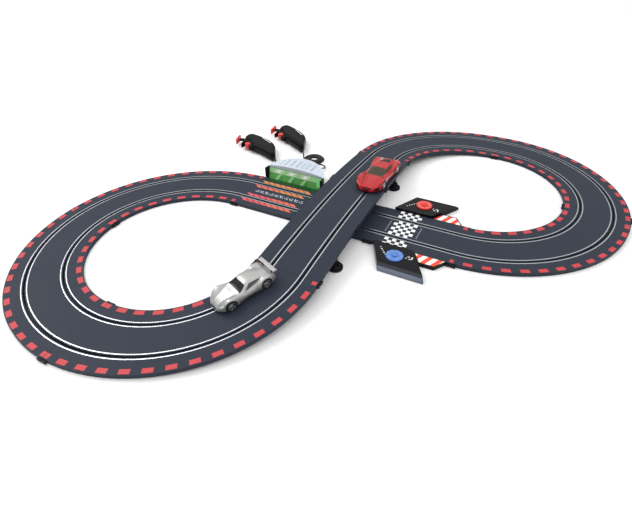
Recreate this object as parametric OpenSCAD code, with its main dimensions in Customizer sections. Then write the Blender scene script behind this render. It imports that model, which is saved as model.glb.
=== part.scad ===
// Figure-of-eight slot car track set: two lanes, a bridge over the lower straight, a battery box,
// two hand controllers, a lap counter for each lane and two cars.
// Origin: the crossing point on the floor. +X runs towards the right-hand loop, +Z is up.

/* [Track] */
// Centreline radius of every curve
curve_r = 217; // [210:1:230]
// Distance between the two slots
lane_gap = 57; // [54:1:60]
// Width of a track piece
track_w = 115; // [112:1:122]
// Height of a track piece from floor to deck
deck_h = 7; // [6.5:0.5:8]
// Width of a slot
slot_w = 3; // [2.8:0.1:3.4]
// Rise of the bridge at the crossing
bridge_rise = 34; // [33:1:40]

/* [Lap counter] */
// Radius of a lap dial
dial_r = 15; // [12:0.5:15.5]

/* [Battery box] */
// Radius of the box's rounded back
box_r = 70.5; // [70:0.5:74]
// Height of the box walls
box_h = 30; // [26:1:32]

/* [Controllers] */
// Thickness of a controller lying on its side
grip_t = 24; // [22:1:28]
// Travel of the thumb plunger
plunger_travel = 10; // [6:1:11]
// Diameter of the controller cords
cord_d = 3; // [2.6:0.1:3]

/* [Cars] */
// Wheel radius of the cars
wheel_r = 9; // [8.5:0.25:9.25]

/* [Hidden] */

$fn = 64;
eps = 0.01;                          // overshoot of a cutting solid
loop_x = curve_r * sqrt(2);          // distance of a loop's centre from the crossing
seam = curve_r;                      // where a straight run ends and a curve begins
straight_l = 2 * curve_r / 3;        // three pieces make one straight run
seam_gap = 0.3;                      // play between two joined pieces
seam_turn = seam_gap / curve_r * 90 / PI;

// ---- Track section ----
plate = 2;                           // thickness of the deck plate
skirt = 2.2;                         // thickness of the side walls
trough = 3.2;                        // half width of a slot trough, outside
slot_d = 5.5;                        // depth of a slot
rail_out = 4.1;                      // rail centre from the slot centre
rail_w = 1.5;
rail_sunk = 1;                       // depth of a rail in the deck
rail_proud = 0.2;                    // height of a rail above the deck
lanes = [-lane_gap / 2, lane_gap / 2];

// A sunk channel of the deck between x0 (right) and x1 (left)
function channel(x0, x1, depth) = [[x0, deck_h], [x0, deck_h - depth], [x1, deck_h - depth], [x1, deck_h]];
// The deck's top outline over one lane, from right to left
function lane_top(c) = [
    each channel(c + rail_out + rail_w / 2, c + rail_out - rail_w / 2, rail_sunk),
    each channel(c + slot_w / 2, c - slot_w / 2, slot_d),
    each channel(c - rail_out + rail_w / 2, c - rail_out - rail_w / 2, rail_sunk)];
// A hollow under the deck between x0 (left) and x1 (right)
function hollow(x0, x1) = [[x0, 0], [x0, deck_h - plate], [x1, deck_h - plate], [x1, 0]];
// Closed outline of a track piece, seen along the lane
track_outline = [[-track_w / 2, 0],
    each hollow(-track_w / 2 + skirt, lanes[0] - trough),
    each hollow(lanes[0] + trough, lanes[1] - trough),
    each hollow(lanes[1] + trough, track_w / 2 - skirt),
    [track_w / 2, 0], [track_w / 2, deck_h],
    each lane_top(lanes[1]), each lane_top(lanes[0]),
    [-track_w / 2, deck_h]];
// Closed outline of the rail whose centre is x from the middle of the track
function rail_outline(x) = [[x - rail_w / 2, deck_h - rail_sunk], [x + rail_w / 2, deck_h - rail_sunk],
    [x + rail_w / 2, deck_h + rail_proud], [x - rail_w / 2, deck_h + rail_proud]];
rail_places = [for (c = lanes) for (side = [-1, 1]) c + side * rail_out];

// ---- Rise of the raised part ----
ramp_top_left = 21;                  // rise where the left ramp meets the bridge
ramp_top_right = 24;                 // rise where the right ramp meets the bridge
ramp_bend_left = 2.2;                // exponent of each ramp's rise
ramp_bend_right = 1.4;
tilt = (ramp_top_right - ramp_top_left) / (2 * seam);
sag = (bridge_rise - (ramp_top_left + ramp_top_right) / 2) / (seam * seam);
function rise_left(a) = ramp_top_left * pow(max(0, (a - 225) / 90), ramp_bend_left);
function rise_right(a) = ramp_top_right * pow(max(0, (a - 45) / 90), ramp_bend_right);
function rise_bridge(s) = bridge_rise + tilt * s - sag * s * s;
ramp_step = 3;                       // degrees between the sections of a ramp
bridge_steps = 8;                    // sections along a bridge piece

// A section standing at point p, with its own x along the level direction n
function section(outline, p, n) = [for (q = outline) [p[0] + n[0] * q[0], p[1] + n[1] * q[0], p[2] + q[1]]];
// Closed solid through a list of sections with equal numbers of points
module sweep(sections) {
    k = len(sections[0]);
    m = len(sections);
    polyhedron(
        points = [for (r = sections) each r],
        faces = [[for (i = [k - 1:-1:0]) i], [for (i = [0:k - 1]) (m - 1) * k + i],
            for (j = [0:m - 2]) for (i = [0:k - 1]) let (a = j * k + i, b = j * k + (i + 1) % k)
                each [[a, b, a + k], [b, b + k, a + k]]]);
}
function ramp_angles(a0, a1) = [for (i = [0:(a1 - a0) / ramp_step])
    min(a1 - seam_turn, max(a0 + seam_turn, a0 + i * ramp_step))];
function left_ramp_sections(outline) = [for (a = ramp_angles(225, 315))
    section(outline, [curve_r * cos(a) - loop_x, curve_r * sin(a), rise_left(a)], [cos(a), sin(a)])];
function right_ramp_sections(outline) = [for (a = ramp_angles(45, 135))
    section(outline, [curve_r * cos(a) + loop_x, curve_r * sin(a), rise_right(a)], [cos(a), sin(a)])];
// Frame of the lower straight: x along it towards the right loop, y across it, away from the viewer
module lower() rotate([0, 0, -45]) children();
// Frame of the bridge: x along it towards the right loop, y across it, away from the viewer
module upper() rotate([0, 0, 45]) children();
// Solid that follows the bridge's rise over one piece from s0, between y0 and y1 across it and between
// heights z0 and z1
module bridge_band(s0, y0, y1, z0, z1) {
    places = [for (i = [0:bridge_steps]) s0 + seam_gap / 2 + i * (straight_l - seam_gap) / bridge_steps];
    translate([0, y1, 0]) rotate([90, 0, 0]) linear_extrude(y1 - y0) polygon([
        for (s = places) [s, rise_bridge(s) + z0],
        for (i = [bridge_steps:-1:0]) [places[i], rise_bridge(places[i]) + z1]]);
}
module bridge_cut(s0, c, half_w, z0, z1) bridge_band(s0, c - half_w, c + half_w, z0, z1);
module bridge_piece(s0) upper() difference() {
    bridge_band(s0, -track_w / 2, track_w / 2, 0, deck_h);
    for (c = lanes) bridge_cut(s0, c, slot_w / 2, deck_h - slot_d, deck_h + 1);
    for (x = rail_places) bridge_cut(s0, x, rail_w / 2, deck_h - rail_sunk, deck_h + 1);
    bridge_band(s0, lanes[0] + trough, lanes[1] - trough, -1, deck_h - plate);
    bridge_band(s0, lanes[1] + trough, track_w / 2 - skirt, -1, deck_h - plate);
    bridge_band(s0, -track_w / 2 + skirt, lanes[0] - trough, -1, deck_h - plate);
}
// Extrusion of a section along a lower straight piece that starts at s
module along_straight(s) translate([s + seam_gap / 2, 0, 0]) rotate([90, 0, 90])
    linear_extrude(straight_l - seam_gap) children();
// Extrusion of a section round a flat curve that starts at angle a
module round_curve(side, a) translate([side * loop_x, 0, 0]) rotate([0, 0, a + seam_turn])
    rotate_extrude(angle = 90 - 2 * seam_turn, $fn = 180) children();
module flat_curve(side, a) round_curve(side, a) translate([curve_r, 0]) polygon(track_outline);
module flat_straight(s) lower() along_straight(s) polygon(track_outline);

deck_colour = [0.24, 0.26, 0.3];
module curve_left_back() color(deck_colour) flat_curve(-1, 45);
module curve_left_outer() color(deck_colour) flat_curve(-1, 135);
module curve_left_ramp() color(deck_colour) sweep(left_ramp_sections(track_outline));
module curve_right_ramp() color(deck_colour) sweep(right_ramp_sections(track_outline));
module curve_right_outer() color(deck_colour) flat_curve(1, -45);
module curve_right_front() color(deck_colour) flat_curve(1, 225);
module straight_connection() color(deck_colour) flat_straight(-seam);
module straight_underpass() color(deck_colour) flat_straight(-straight_l / 2);

// ---- Lap counter places, along and across the lower straight ----
dial_s = 133;
dial_n = 87;
housing_h = 12;                      // top of a housing
lever_n = 66;                        // pivot of the lap lever
lever_swing = 8;                     // half of the room that a lever needs, along the track
lever_z = 1.2;
lever_t = 1.8;

module straight_start_finish() color(deck_colour) lower() difference() {
    along_straight(straight_l / 2) polygon(track_outline);
    for (side = [-1, 1]) translate([dial_s - lever_swing, side > 0 ? 24 : -track_w / 2 - 1, -1])
        cube([2 * lever_swing, track_w / 2 - 23, deck_h - plate + 1]);
}
module bridge_left() color(deck_colour) bridge_piece(-seam);
module bridge_middle() color(deck_colour) bridge_piece(-straight_l / 2);
module bridge_right() color(deck_colour) bridge_piece(straight_l / 2);

module rails() color([0.85, 0.86, 0.88]) for (x = rail_places) {
    for (place = [[-1, 45], [-1, 135], [1, -45], [1, 225]])
        round_curve(place[0], place[1]) translate([curve_r, 0]) polygon(rail_outline(x));
    for (i = [0:2]) lower() along_straight(-seam + i * straight_l) polygon(rail_outline(x));
    for (i = [0:2]) upper() bridge_cut(-seam + i * straight_l, x, rail_w / 2, deck_h - rail_sunk,
        deck_h + rail_proud);
    sweep(left_ramp_sections(rail_outline(x)));
    sweep(right_ramp_sections(rail_outline(x)));
}

// ---- Joint clips and bridge supports ----
clip = [16, 3.2, 4];                 // length along the seam's edges, width, height
clip_z = 1.3;
clip_gap = 0.2;
// One clip at each edge of a seam, in a frame whose x runs along the track
module clip_pair(gap = clip_gap) for (side = [-1, 1])
    translate([-clip[0] / 2, side > 0 ? track_w / 2 + gap : -track_w / 2 - gap - clip[1], clip_z])
        difference() {
            cube(clip);
            translate([clip[0] / 2 - 1, side > 0 ? clip[1] - 0.8 : -1, -1]) cube([2, 1.8, clip[2] + 2]);
        }
module joint_clips() color([0.06, 0.06, 0.07]) {
    for (s = [-seam, -straight_l / 2, straight_l / 2]) lower() translate([s, 0, 0]) clip_pair();
    lower() translate([seam + 5, 0, 0]) clip_pair(0.9);
    for (s = [-seam, -straight_l / 2, straight_l / 2, seam])
        upper() translate([s, 0, rise_bridge(s)]) clip_pair();
    for (place = [[-1, 135], [-1, 225], [1, 45], [1, -45]])
        translate([place[0] * loop_x, 0, 0]) rotate([0, 0, place[1]]) translate([curve_r, 0, 0])
            rotate([0, 0, 90]) clip_pair();
}
support_s = 145;                     // distance of the supports from the crossing
support_n = 51;                      // and from the middle of the bridge
support_foot_r = 13;
module bridge_supports() color([0.05, 0.05, 0.06]) for (s = [-support_s, support_s]) for (n = [-1, 1])
    upper() translate([s, n * support_n, 0]) {
        top = rise_bridge(s) + deck_h - plate - 0.8;
        cylinder(h = 4, r = support_foot_r);
        translate([0, 0, 4 - eps]) cylinder(h = 3, r1 = 9, r2 = 4);
        cylinder(h = top, r = 3.6);
        for (turn = [0, 90]) rotate([0, 0, turn]) translate([-7, -0.8, 3.5]) cube([14, 1.6, 12]);
    }

// ---- Lap counter ----
// Plan of a housing: [along the track, out from its middle]
housing_plan = [[84, 58], [115.5, 121], [193.5, 121], [156, 58]];
housing_side = [[58, 0], [121, 0], [121, 5], [112, housing_h], [58, housing_h]];
wall = 1.8;
roof = 2.4;
bar_w = 6;                           // bar under the dial that carries its lower bearing
// A solid over the housing's plan, with its sloping outer side
module housing_form(inset, drop) intersection() {
    linear_extrude(housing_h) polygon([for (p = housing_plan) let (m = [137, 90])
        m + (p - m) * (1 - inset / 26)]);
    translate([0, 0, -drop]) rotate([90, 0, 90]) linear_extrude(300) polygon(housing_side);
}
module housing() {
    difference() {
        housing_form(0, 0);
        difference() {
            translate([0, 0, -eps]) housing_form(wall, roof);
            translate([dial_s - bar_w / 2, 40, -1]) cube([bar_w, 90, 2]);
            translate([dial_s, dial_n, -1]) cylinder(h = 4, r = 3.4);
        }
        translate([dial_s, dial_n, housing_h - 1.2]) cylinder(h = 5, r = dial_r + 0.4);
        translate([dial_s, dial_n, -1]) cylinder(h = 20, r = 2.05);
        translate([dial_s - lever_swing, 50, -1]) cube([2 * lever_swing, 12, 5]);
    }
    translate([dial_s, lever_n, 0.5]) cylinder(h = 4, r = 1.45);
}
module lap_dial() translate([dial_s, dial_n, 0]) {
    difference() {
        translate([0, 0, housing_h - 1]) cylinder(h = 3.2, r = dial_r);
        translate([0, 0, housing_h + 1.6]) for (turn = [0:36:324]) rotate([0, 0, turn])
            translate([dial_r, 0, 0]) cylinder(h = 3, r = 1.2);
    }
    translate([0, 0, housing_h + 2.2 - eps]) cylinder(h = 1.6, r = 4.5);
    translate([0, 0, 1]) cylinder(h = housing_h, r = 2);
}
// The ratchet wheel hangs on the dial's stem under the housing's roof
module lap_ratchet() translate([dial_s, dial_n, 3.4]) difference() {
    cylinder(h = 2.4, r = 8.6);
    for (turn = [0:36:324]) rotate([0, 0, turn]) translate([8.6, 0, -1]) cylinder(h = 5, r = 1.2);
}
module lap_lever() translate([dial_s, lever_n, 0]) {
    difference() {
        translate([-2.5, lane_gap / 2 - lever_n - 1.5, lever_z]) cube([5, 48, lever_t]);
        translate([0, 0, -1]) cylinder(h = 20, r = 1.5);
    }
    translate([-2, lane_gap / 2 - lever_n - 0.9, lever_z]) cube([4, 1.8, deck_h - 1.5 - lever_z]);
    translate([0, 0, lever_z]) difference() {
        cylinder(h = lever_t + 0.4, r = 3.6);
        translate([0, 0, -1]) cylinder(h = 9, r = 1.5);
    }
}

// Mirrors a lap counter part to the viewer's side of the lower straight
module near_side() mirror([0, 1, 0]) children();
module lap_housing_red() color([0.04, 0.04, 0.05]) lower() housing();
module lap_housing_blue() color([0.04, 0.04, 0.05]) lower() near_side() housing();
module lap_dial_red() color([0.85, 0.16, 0.14]) lower() { lap_dial(); lap_ratchet(); }
module lap_dial_blue() color([0.2, 0.38, 0.75]) lower() near_side() { lap_dial(); lap_ratchet(); }
module lap_lever_red() color([0.1, 0.1, 0.1]) lower() lap_lever();
module lap_lever_blue() color([0.1, 0.1, 0.1]) lower() near_side() lap_lever();
module kerb_aprons() color([0.93, 0.93, 0.92]) lower() for (side = [0, 1]) mirror([0, side, 0])
    linear_extrude(deck_h) polygon([[158, 58], [171, 80.5], [199, 80.5], [214, 58]]);

// ---- Battery box, in the lower straight's frame ----
box_centre = [-144, 47.5];
box_front = 58;                      // the box's straight side, just off the track
lid_front = 67.5;                    // the lid's straight edge
box_floor = 1.6;
box_wall = 2;
lid_t = 3;
lid_gap = 0.3;
socket_z = 8;
socket_turns = [56, 32];             // directions of the left and right sockets on the plan
plug_start = 74;                     // distance of a plug's face from the box's centre
box_plan = lower_point(box_centre);

// A point of the lower straight's frame on the plan
function lower_point(p) = [(p[0] + p[1]) * sqrt(0.5), (p[1] - p[0]) * sqrt(0.5)];
// The box's plan, a circle cut off along a straight front
module box_shape(inset, front) translate(box_centre) intersection() {
    circle(r = box_r - inset, $fn = 128);
    translate([-box_r, front - box_centre[1]]) square([2 * box_r, 2 * box_r]);
}
// Places a part on the line from the box's centre through a socket
module at_socket(i, distance) translate([box_plan[0], box_plan[1], socket_z])
    rotate([0, 0, socket_turns[i]]) translate([distance, 0, 0]) rotate([0, 90, 0]) children();
module battery_box_base() color([0.05, 0.05, 0.05]) difference() {
    union() {
        lower() difference() {
            linear_extrude(box_h) box_shape(0, box_front);
            translate([0, 0, box_floor]) linear_extrude(box_h) box_shape(box_wall, box_front + 1.2);
            // room for the sloping front between the end cheeks
            translate([box_centre[0] - 63.4, 0, box_floor]) cube([126.8, lid_front + 3, box_h]);
        }
        for (i = [0, 1]) at_socket(i, box_r - 4) cylinder(h = plug_start - 0.1 - box_r + 4, r = 6.2);
    }
    for (i = [0, 1]) at_socket(i, 40) cylinder(h = 40, r = 2.1);
    // room for the track's joint clips at both front corners
    for (s = [-seam, -straight_l / 2]) lower() translate([s - clip[0] / 2 - 0.4, 50, -1])
        cube([clip[0] + 0.8, track_w / 2 - 50 + clip_gap + clip[1] + 0.4, clip_z + clip[2] + 1.4]);
}
module battery_box_front() color([0.2, 0.6, 0.25]) lower()
    translate([box_centre[0] - 63, 0, 0]) rotate([90, 0, 90]) linear_extrude(126)
        polygon([[box_front + 0.6, box_floor + 0.1], [box_front + 3, box_floor + 0.1],
            [lid_front + 2.5, box_h], [lid_front, box_h]]);
lid_arch_r = 420;                    // the lid's top is part of a wide cylinder
module battery_lid() color([0.78, 0.8, 0.86]) lower() difference() {
    translate([0, 0, box_h + lid_gap]) linear_extrude(lid_t + 5) box_shape(0, lid_front);
    difference() {
        translate([box_centre[0] - 100, 0, box_h]) cube([200, 200, 20]);
        translate([box_centre[0], -1, box_h + lid_gap + lid_t + 4 - lid_arch_r]) rotate([-90, 0, 0])
            cylinder(h = 210, r = lid_arch_r, $fn = 256);
    }
    // finger grooves
    for (i = [-2:2]) translate([box_centre[0] + i * 16 - 1.2, lid_front + 8, box_h + lid_t + 3.4 - 0.3 * i * i])
        cube([2.4, 30, 4]);
}
cell_r = 7.1;
cell_l = 50;
cell_rows = [72, 86.6];
module battery_cells() color([0.75, 0.6, 0.2]) lower() for (n = cell_rows) for (side = [-1, 1])
    translate([box_centre[0] + side * (cell_l / 2 + 0.3) - cell_l / 2, n, box_floor + cell_r + 0.1])
        rotate([0, 90, 0]) {
            cylinder(h = cell_l - 1, r = cell_r);
            translate([0, 0, cell_l - 1 - eps]) cylinder(h = 1, r = 2.6);
        }
module battery_contacts() color([0.8, 0.8, 0.82]) lower() for (n = cell_rows) for (side = [-1, 1])
    translate([box_centre[0] + side * (cell_l + 0.9) - 0.2, n - 4, box_floor]) cube([0.4, 5, 10]);

// ---- Controllers, each in its own frame: y along the grip towards the plunger, z up from the floor ----
left_place = [-73, 266];
right_place = [2, 287];
right_turn = -9.6;
// Side outline of a grip, from its lower end round its back, head, guard spur and trigger bay
grip_outline = [[-6, 0], [5, 0], [10, 25], [18, 54], [13, 74], [4, 93], [-9, 118], [-22, 137], [-34, 135],
    [-48, 124], [-51, 109], [-62, 90], [-50, 99], [-43, 98], [-42, 79], [-47, 74], [-45, 61], [-33, 62],
    [-22, 37], [-12, 16]];
grip_hollow = [[-3, 6], [3, 6], [7, 26], [14, 54], [9, 73], [1, 90], [-12, 115], [-23, 132], [-32, 131],
    [-44, 122], [-46, 106], [-38, 100], [-37, 76], [-30, 64], [-19, 38]];
plunger_at = [-47, 123];             // where the plunger leaves the head
plunger_turn = 152;                  // its direction
relief_l = 14;

module left_frame() translate([left_place[0], left_place[1], 0]) children();
module right_frame() translate([right_place[0], right_place[1], 0]) rotate([0, 0, right_turn]) children();
// Along the plunger's axis, 0 at the head's wall and positive outwards
module on_plunger(x) translate([plunger_at[0], plunger_at[1], grip_t / 2]) rotate([0, 0, plunger_turn])
    translate([x, 0, 0]) children();
module casing_openings() {
    on_plunger(-12) translate([0, -3.4, -3.4]) cube([30, 6.8, 6.8]);
    translate([-46, 80.5, grip_t / 2 - 6.4]) cube([12, 16, 12.8]);
    translate([-0.5, -1, grip_t / 2]) rotate([-90, 0, 0]) cylinder(h = 9, r = 1.8);
}
// One half of a casing between heights z0 and z1, hollow from h0 to h1
module casing_half(z0, z1, h0, h1) difference() {
    translate([0, 0, z0]) linear_extrude(z1 - z0) polygon(grip_outline);
    translate([0, 0, h0]) linear_extrude(h1 - h0) polygon(grip_hollow);
    casing_openings();
}
module casing_lower() color([0.07, 0.07, 0.07])
    casing_half(0, grip_t / 2 - 0.05, 2, grip_t / 2 + 1);
module casing_upper() color([0.07, 0.07, 0.07])
    casing_half(grip_t / 2 + 0.05, grip_t, grip_t / 2 - 1, grip_t - 2);
spring_l = 14;
plunger_in = 9;                      // length of shaft inside the casing
module plunger() color([0.85, 0.12, 0.1]) {
    on_plunger(-plunger_in) translate([0, -3, -3]) cube([plunger_in + 14, 6, 6]);
    on_plunger(14 - eps) translate([0, -15, -6]) cube([4.5, 30, 12]);
}
module plunger_spring() color([0.8, 0.8, 0.82]) on_plunger(-plunger_in - spring_l) rotate([0, 90, 0])
    difference() {
        cylinder(h = spring_l - 0.1, r = 2.8);
        translate([0, 0, -1]) cylinder(h = spring_l + 2, r = 2);
    }
module turbo_button() color([0.85, 0.12, 0.1]) {
    translate([-45, 81, grip_t / 2 - 6]) cube([7, 15, 12]);
    translate([-45, 88.5, grip_t / 2 - 6]) intersection() {
        cylinder(h = 12, r = 7.5);
        translate([-4, -7.5, 0]) cube([4 + eps, 15, 12]);
    }
}
module left_casing_lower() left_frame() casing_lower();
module left_casing_upper() left_frame() casing_upper();
module left_plunger() left_frame() plunger();
module left_turbo_button() left_frame() turbo_button();
module left_plunger_spring() left_frame() plunger_spring();
module right_casing_lower() right_frame() casing_lower();
module right_casing_upper() right_frame() casing_upper();
module right_plunger() right_frame() plunger();
module right_turbo_button() right_frame() turbo_button();
module right_plunger_spring() right_frame() plunger_spring();

// ---- Cords ----
module relief() color([0.05, 0.05, 0.05]) translate([-0.5, -0.05, grip_t / 2]) rotate([90, 0, 0]) {
    cylinder(h = 3, r = 3.4);
    cylinder(h = relief_l, r1 = 2.8, r2 = 1.9);
}
module strain_reliefs() { left_frame() relief(); right_frame() relief(); }

coil_mid_r = 16.5;                   // middle of the turns
coil_wires = 5;                      // turns side by side
coil_layers = 2;
left_coil_at = [-51, 231];
right_coil_at = [19, 248];
module cord_coil(at) color([0.06, 0.06, 0.06]) translate([at[0], at[1], 0]) rotate_extrude()
    translate([coil_mid_r - coil_wires * cord_d / 2, 0]) square([coil_wires * cord_d, coil_layers * cord_d]);
left_route_in = [[-73.5, 252, 12], [-73.5, 248, 11.4], [-73.5, 243, 8.4], [-73.5, 238, 4.4], [-73.5, 234, 2],
    [-73.5, 231, 1.5]];
left_route_out = [[-34, 216.5, 4.5], [-30, 221, 3.6], [-26.5, 225.5, 2.2], [-23.7, 230.2, 1.5],
    [-20.1, 232.7, 1.5], [-15.7, 233.1, 1.5], [-11.7, 231.2, 1.7], [-9.2, 227.6, 2.6], [-8.8, 223.5, 4.4],
    [-11, 219.2, 6.6], [-14.5, 214.8, 8]];
right_route_in = [[-0.8, 273.2, 12], [-1.5, 269.3, 11.4], [-2.4, 264.2, 8.4], [-3.2, 259.2, 4.4],
    [-3.8, 255.3, 2], [-4, 251.8, 1.5]];
right_route_out = [[11.3, 226.9, 4.5], [18, 224.2, 3], [25, 219.6, 1.5], [30.5, 212.5, 1.5], [31.5, 204, 1.5],
    [27.5, 196.5, 3], [22.3, 191.9, 5.8], [17.6, 189, 7.4], [13, 186.2, 8]];
cord_sides = 8;
// Unit vector from a to b
function towards(a, b) = (b - a) / norm(b - a);
// Direction of a route at its point i
function heading(route, i) = towards(route[max(0, i - 1)], route[min(len(route) - 1, i + 1)]);
// A ring of the cord round point p, across direction d
function cord_ring(p, d) = let (level = towards([0, 0, 0], [-d[1], d[0], 0]), rise = cross(d, level))
    [for (k = [0:cord_sides - 1]) let (turn = k * 360 / cord_sides)
        p + cord_d / 2 * (level * cos(turn) + rise * sin(turn))];
module cord(route) color([0.06, 0.06, 0.06])
    sweep([for (i = [len(route) - 1:-1:0]) cord_ring(route[i], heading(route, i))]);
module left_cord() { cord(left_route_in); cord(left_route_out); }
module right_cord() { cord(right_route_in); cord(right_route_out); }
module left_cord_coil() cord_coil(left_coil_at);
module right_cord_coil() cord_coil(right_coil_at);
module plug(i) color([0.06, 0.06, 0.06]) at_socket(i, plug_start) {
    translate([0, 0, -12]) cylinder(h = 12.5, r = 2);
    cylinder(h = 14, r = 4);
    translate([0, 0, 14 - eps]) cylinder(h = 8, r1 = 3.2, r2 = 1.9);
}
module left_plug() plug(0);
module right_plug() plug(1);

// ---- Cars, each in its own frame: x forwards, y to its left, z up from the deck ----
// [wheelbase, half width, distance of the guide pivot ahead of the middle]
silver = [62, 22.5, 36];
red = [82, 28, 49];
silver_side = [[-48, 3.5], [-50, 14], [-45, 18], [-30, 20.5], [-14, 24.3], [-2, 25], [8, 23], [20, 17.6],
    [34, 15.6], [45, 12], [51, 7], [50, 3.5]];
silver_plan = [[-49, 17], [-42, 22], [-20, 22.5], [10, 21.5], [30, 22.5], [42, 20], [50, 11], [52, 0]];
red_side = [[-65, 3.5], [-68, 14], [-63, 20.4], [-45, 23], [-25, 25.5], [-8, 25.9], [10, 22], [26, 17.2],
    [48, 13.4], [65, 8.5], [69, 5], [67, 3.5]];
red_plan = [[-67, 20], [-58, 27], [-35, 28], [0, 26.5], [38, 28], [54, 25.5], [65, 16], [69, 0]];
// Windscreen and rear window of each car, seen from the side
silver_screen = [[19, 17.5], [8.5, 22.2], [7.5, 20.6], [17, 16.4]];
silver_rear_window = [[-15, 23.4], [-29, 20.1], [-28.5, 18.6], [-14.5, 21.8]];
red_screen = [[24.5, 17.2], [10, 21.5], [8.6, 19.9], [23, 15.8]];
red_rear_window = [[-27, 24.8], [-44, 22.6], [-43.5, 21], [-26.6, 23.1]];
window_half_w = 15;
body_wall = 1.6;
wheel_w = 8;
wheel_inset = 1;                     // outer face of a wheel from the car's side
axle_r = 1;
axle_play = 0.05;                    // radial play of every shaft in its bore
arch_play = 1.6;
pin_r = 2;                           // guide pin
chassis_z = 3;
chassis_half_w = 10.5;
crown_r = 6.2;
crown_y = 3.2;
pinion_r = 2.6;
motor_shaft_r = 0.75;

// Extrusion across the car of an outline seen from the side
module across(half_w) rotate([90, 0, 0]) translate([0, 0, -half_w]) linear_extrude(2 * half_w) children();
// The car's outer form, shrunk by k towards its middle
module car_form(side, plan, half_w, k) intersection() {
    scale(k) across(half_w + 1) polygon(side);
    scale(k) linear_extrude(60) polygon([each plan, each [for (i = [len(plan) - 2:-1:0]) [plan[i][0], -plan[i][1]]]]);
}
module car_body(car, side, plan, screens) difference() {
    car_form(side, plan, car[1], 1);
    difference() {
        translate([0, 0, -0.4]) car_form(side, plan, car[1], 0.94);
        for (outline = screens) across(window_half_w + 1) polygon([for (q = outline) q + [0, -0.8]]);
    }
    translate([0, 0, -20 + chassis_z + 1]) car_form([[-80, 0], [-80, 22], [80, 22], [80, 0]], plan, 40, 0.94);
    for (outline = screens) across(window_half_w) polygon(outline);
    for (x = [-car[0] / 2, car[0] / 2]) for (turn = [90, -90]) translate([x, 0, wheel_r])
        rotate([turn, 0, 0]) translate([0, 0, car[1] - wheel_inset - wheel_w - 2]) cylinder(h = 20, r = wheel_r + arch_play);
}
module car_windows(screens) for (outline = screens) across(window_half_w - 0.05)
    let (middle = (outline[0] + outline[1] + outline[2] + outline[3]) / 4)
        polygon([for (q = outline) middle + (q - middle) * 0.95]);
module car_chassis(car) difference() {
    union() {
        translate([-car[0] / 2 - 7, -chassis_half_w, chassis_z])
            cube([car[0] + 14 + 3, 2 * chassis_half_w, 2]);
        for (x = [-car[0] / 2, car[0] / 2]) for (side = [-1, 1])
            translate([x - 2.5, side > 0 ? chassis_half_w - 1.5 : -chassis_half_w, chassis_z]) cube([5, 1.5, 9]);
        translate([car[2], 0, chassis_z]) cylinder(h = 4, r = 4.2);
    }
    for (x = [-car[0] / 2, car[0] / 2]) translate([x, 0, wheel_r]) rotate([90, 0, 0])
        translate([0, 0, -30]) cylinder(h = 60, r = axle_r + axle_play);
    translate([car[2], 0, 0]) cylinder(h = 20, r = pin_r + axle_play);
    translate([-car[0] / 2 - crown_r - 0.8, crown_y - 0.6, 0]) cube([2 * crown_r + 1.6, 2.7, 10]);
}
// An axle with its two wheels, seen along y
module axle_with_wheels(car) {
    outer = car[1] - wheel_inset;
    rotate([90, 0, 0]) translate([0, 0, -outer + 0.5]) cylinder(h = 2 * outer - 1, r = axle_r);
    for (turn = [90, -90]) rotate([turn, 0, 0]) translate([0, 0, outer - wheel_w]) difference() {
        cylinder(h = wheel_w, r = wheel_r);
        translate([0, 0, wheel_w - 1]) cylinder(h = 2, r = wheel_r - 2.6);
    }
}
module front_wheels(car) translate([car[0] / 2, 0, wheel_r]) axle_with_wheels(car);
// The rear axle also carries the crown gear
module rear_wheels(car) translate([-car[0] / 2, 0, wheel_r]) {
    axle_with_wheels(car);
    translate([0, crown_y, 0]) rotate([-90, 0, 0]) cylinder(h = 1.5, r = crown_r);
}
module pinion(car) translate([-car[0] / 2, 0, wheel_r]) rotate([0, 90, 0]) {
    translate([0, 0, 2.2]) cylinder(h = 3.6, r = pinion_r);
    translate([0, 0, 5.8 - eps]) cylinder(h = 5, r = motor_shaft_r);
}
module motor(car) translate([-car[0] / 2 + 7, -6.5, chassis_z + 2.05]) difference() {
    cube([20, 13, 8]);
    translate([-1, 6.5, wheel_r - chassis_z - 2.05]) rotate([0, 90, 0])
        cylinder(h = 6, r = motor_shaft_r + axle_play);
}
// Guide blade, its disc and pin, and the two braids over the rails
module guide(car) translate([car[2], 0, 0]) {
    translate([-4, -0.75, -4.2]) cube([8, 1.5, 5.2]);
    translate([0, 0, 0.9]) cylinder(h = 1.7, r = 5.4);
    translate([0, 0, 2.6 - eps]) cylinder(h = 4.8, r = pin_r);
    for (side = [-1, 1]) translate([-4, side * rail_out - 1.1, 0.5]) cube([8, 2.2, 0.5]);
}

silver_angle = 296.2;                // place of the silver car's middle round the left loop
silver_from_centre = 187.5;
silver_heading = 202.2;
silver_pitch = 6.77;
silver_z = deck_h + 13.65;
red_s = 105;                         // place of the red car's middle along the bridge
red_n = -lane_gap / 2;
red_heading = 180;
red_pitch = -2.54;
red_lift = 0.05;
module silver_frame() translate([silver_from_centre * cos(silver_angle) - loop_x,
        silver_from_centre * sin(silver_angle), silver_z])
    rotate([0, 0, silver_heading]) rotate([0, silver_pitch, 0]) children();
module red_frame() upper() translate([red_s, red_n, deck_h + rise_bridge(red_s) + red_lift])
    rotate([0, 0, red_heading]) rotate([0, red_pitch, 0]) children();

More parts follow.
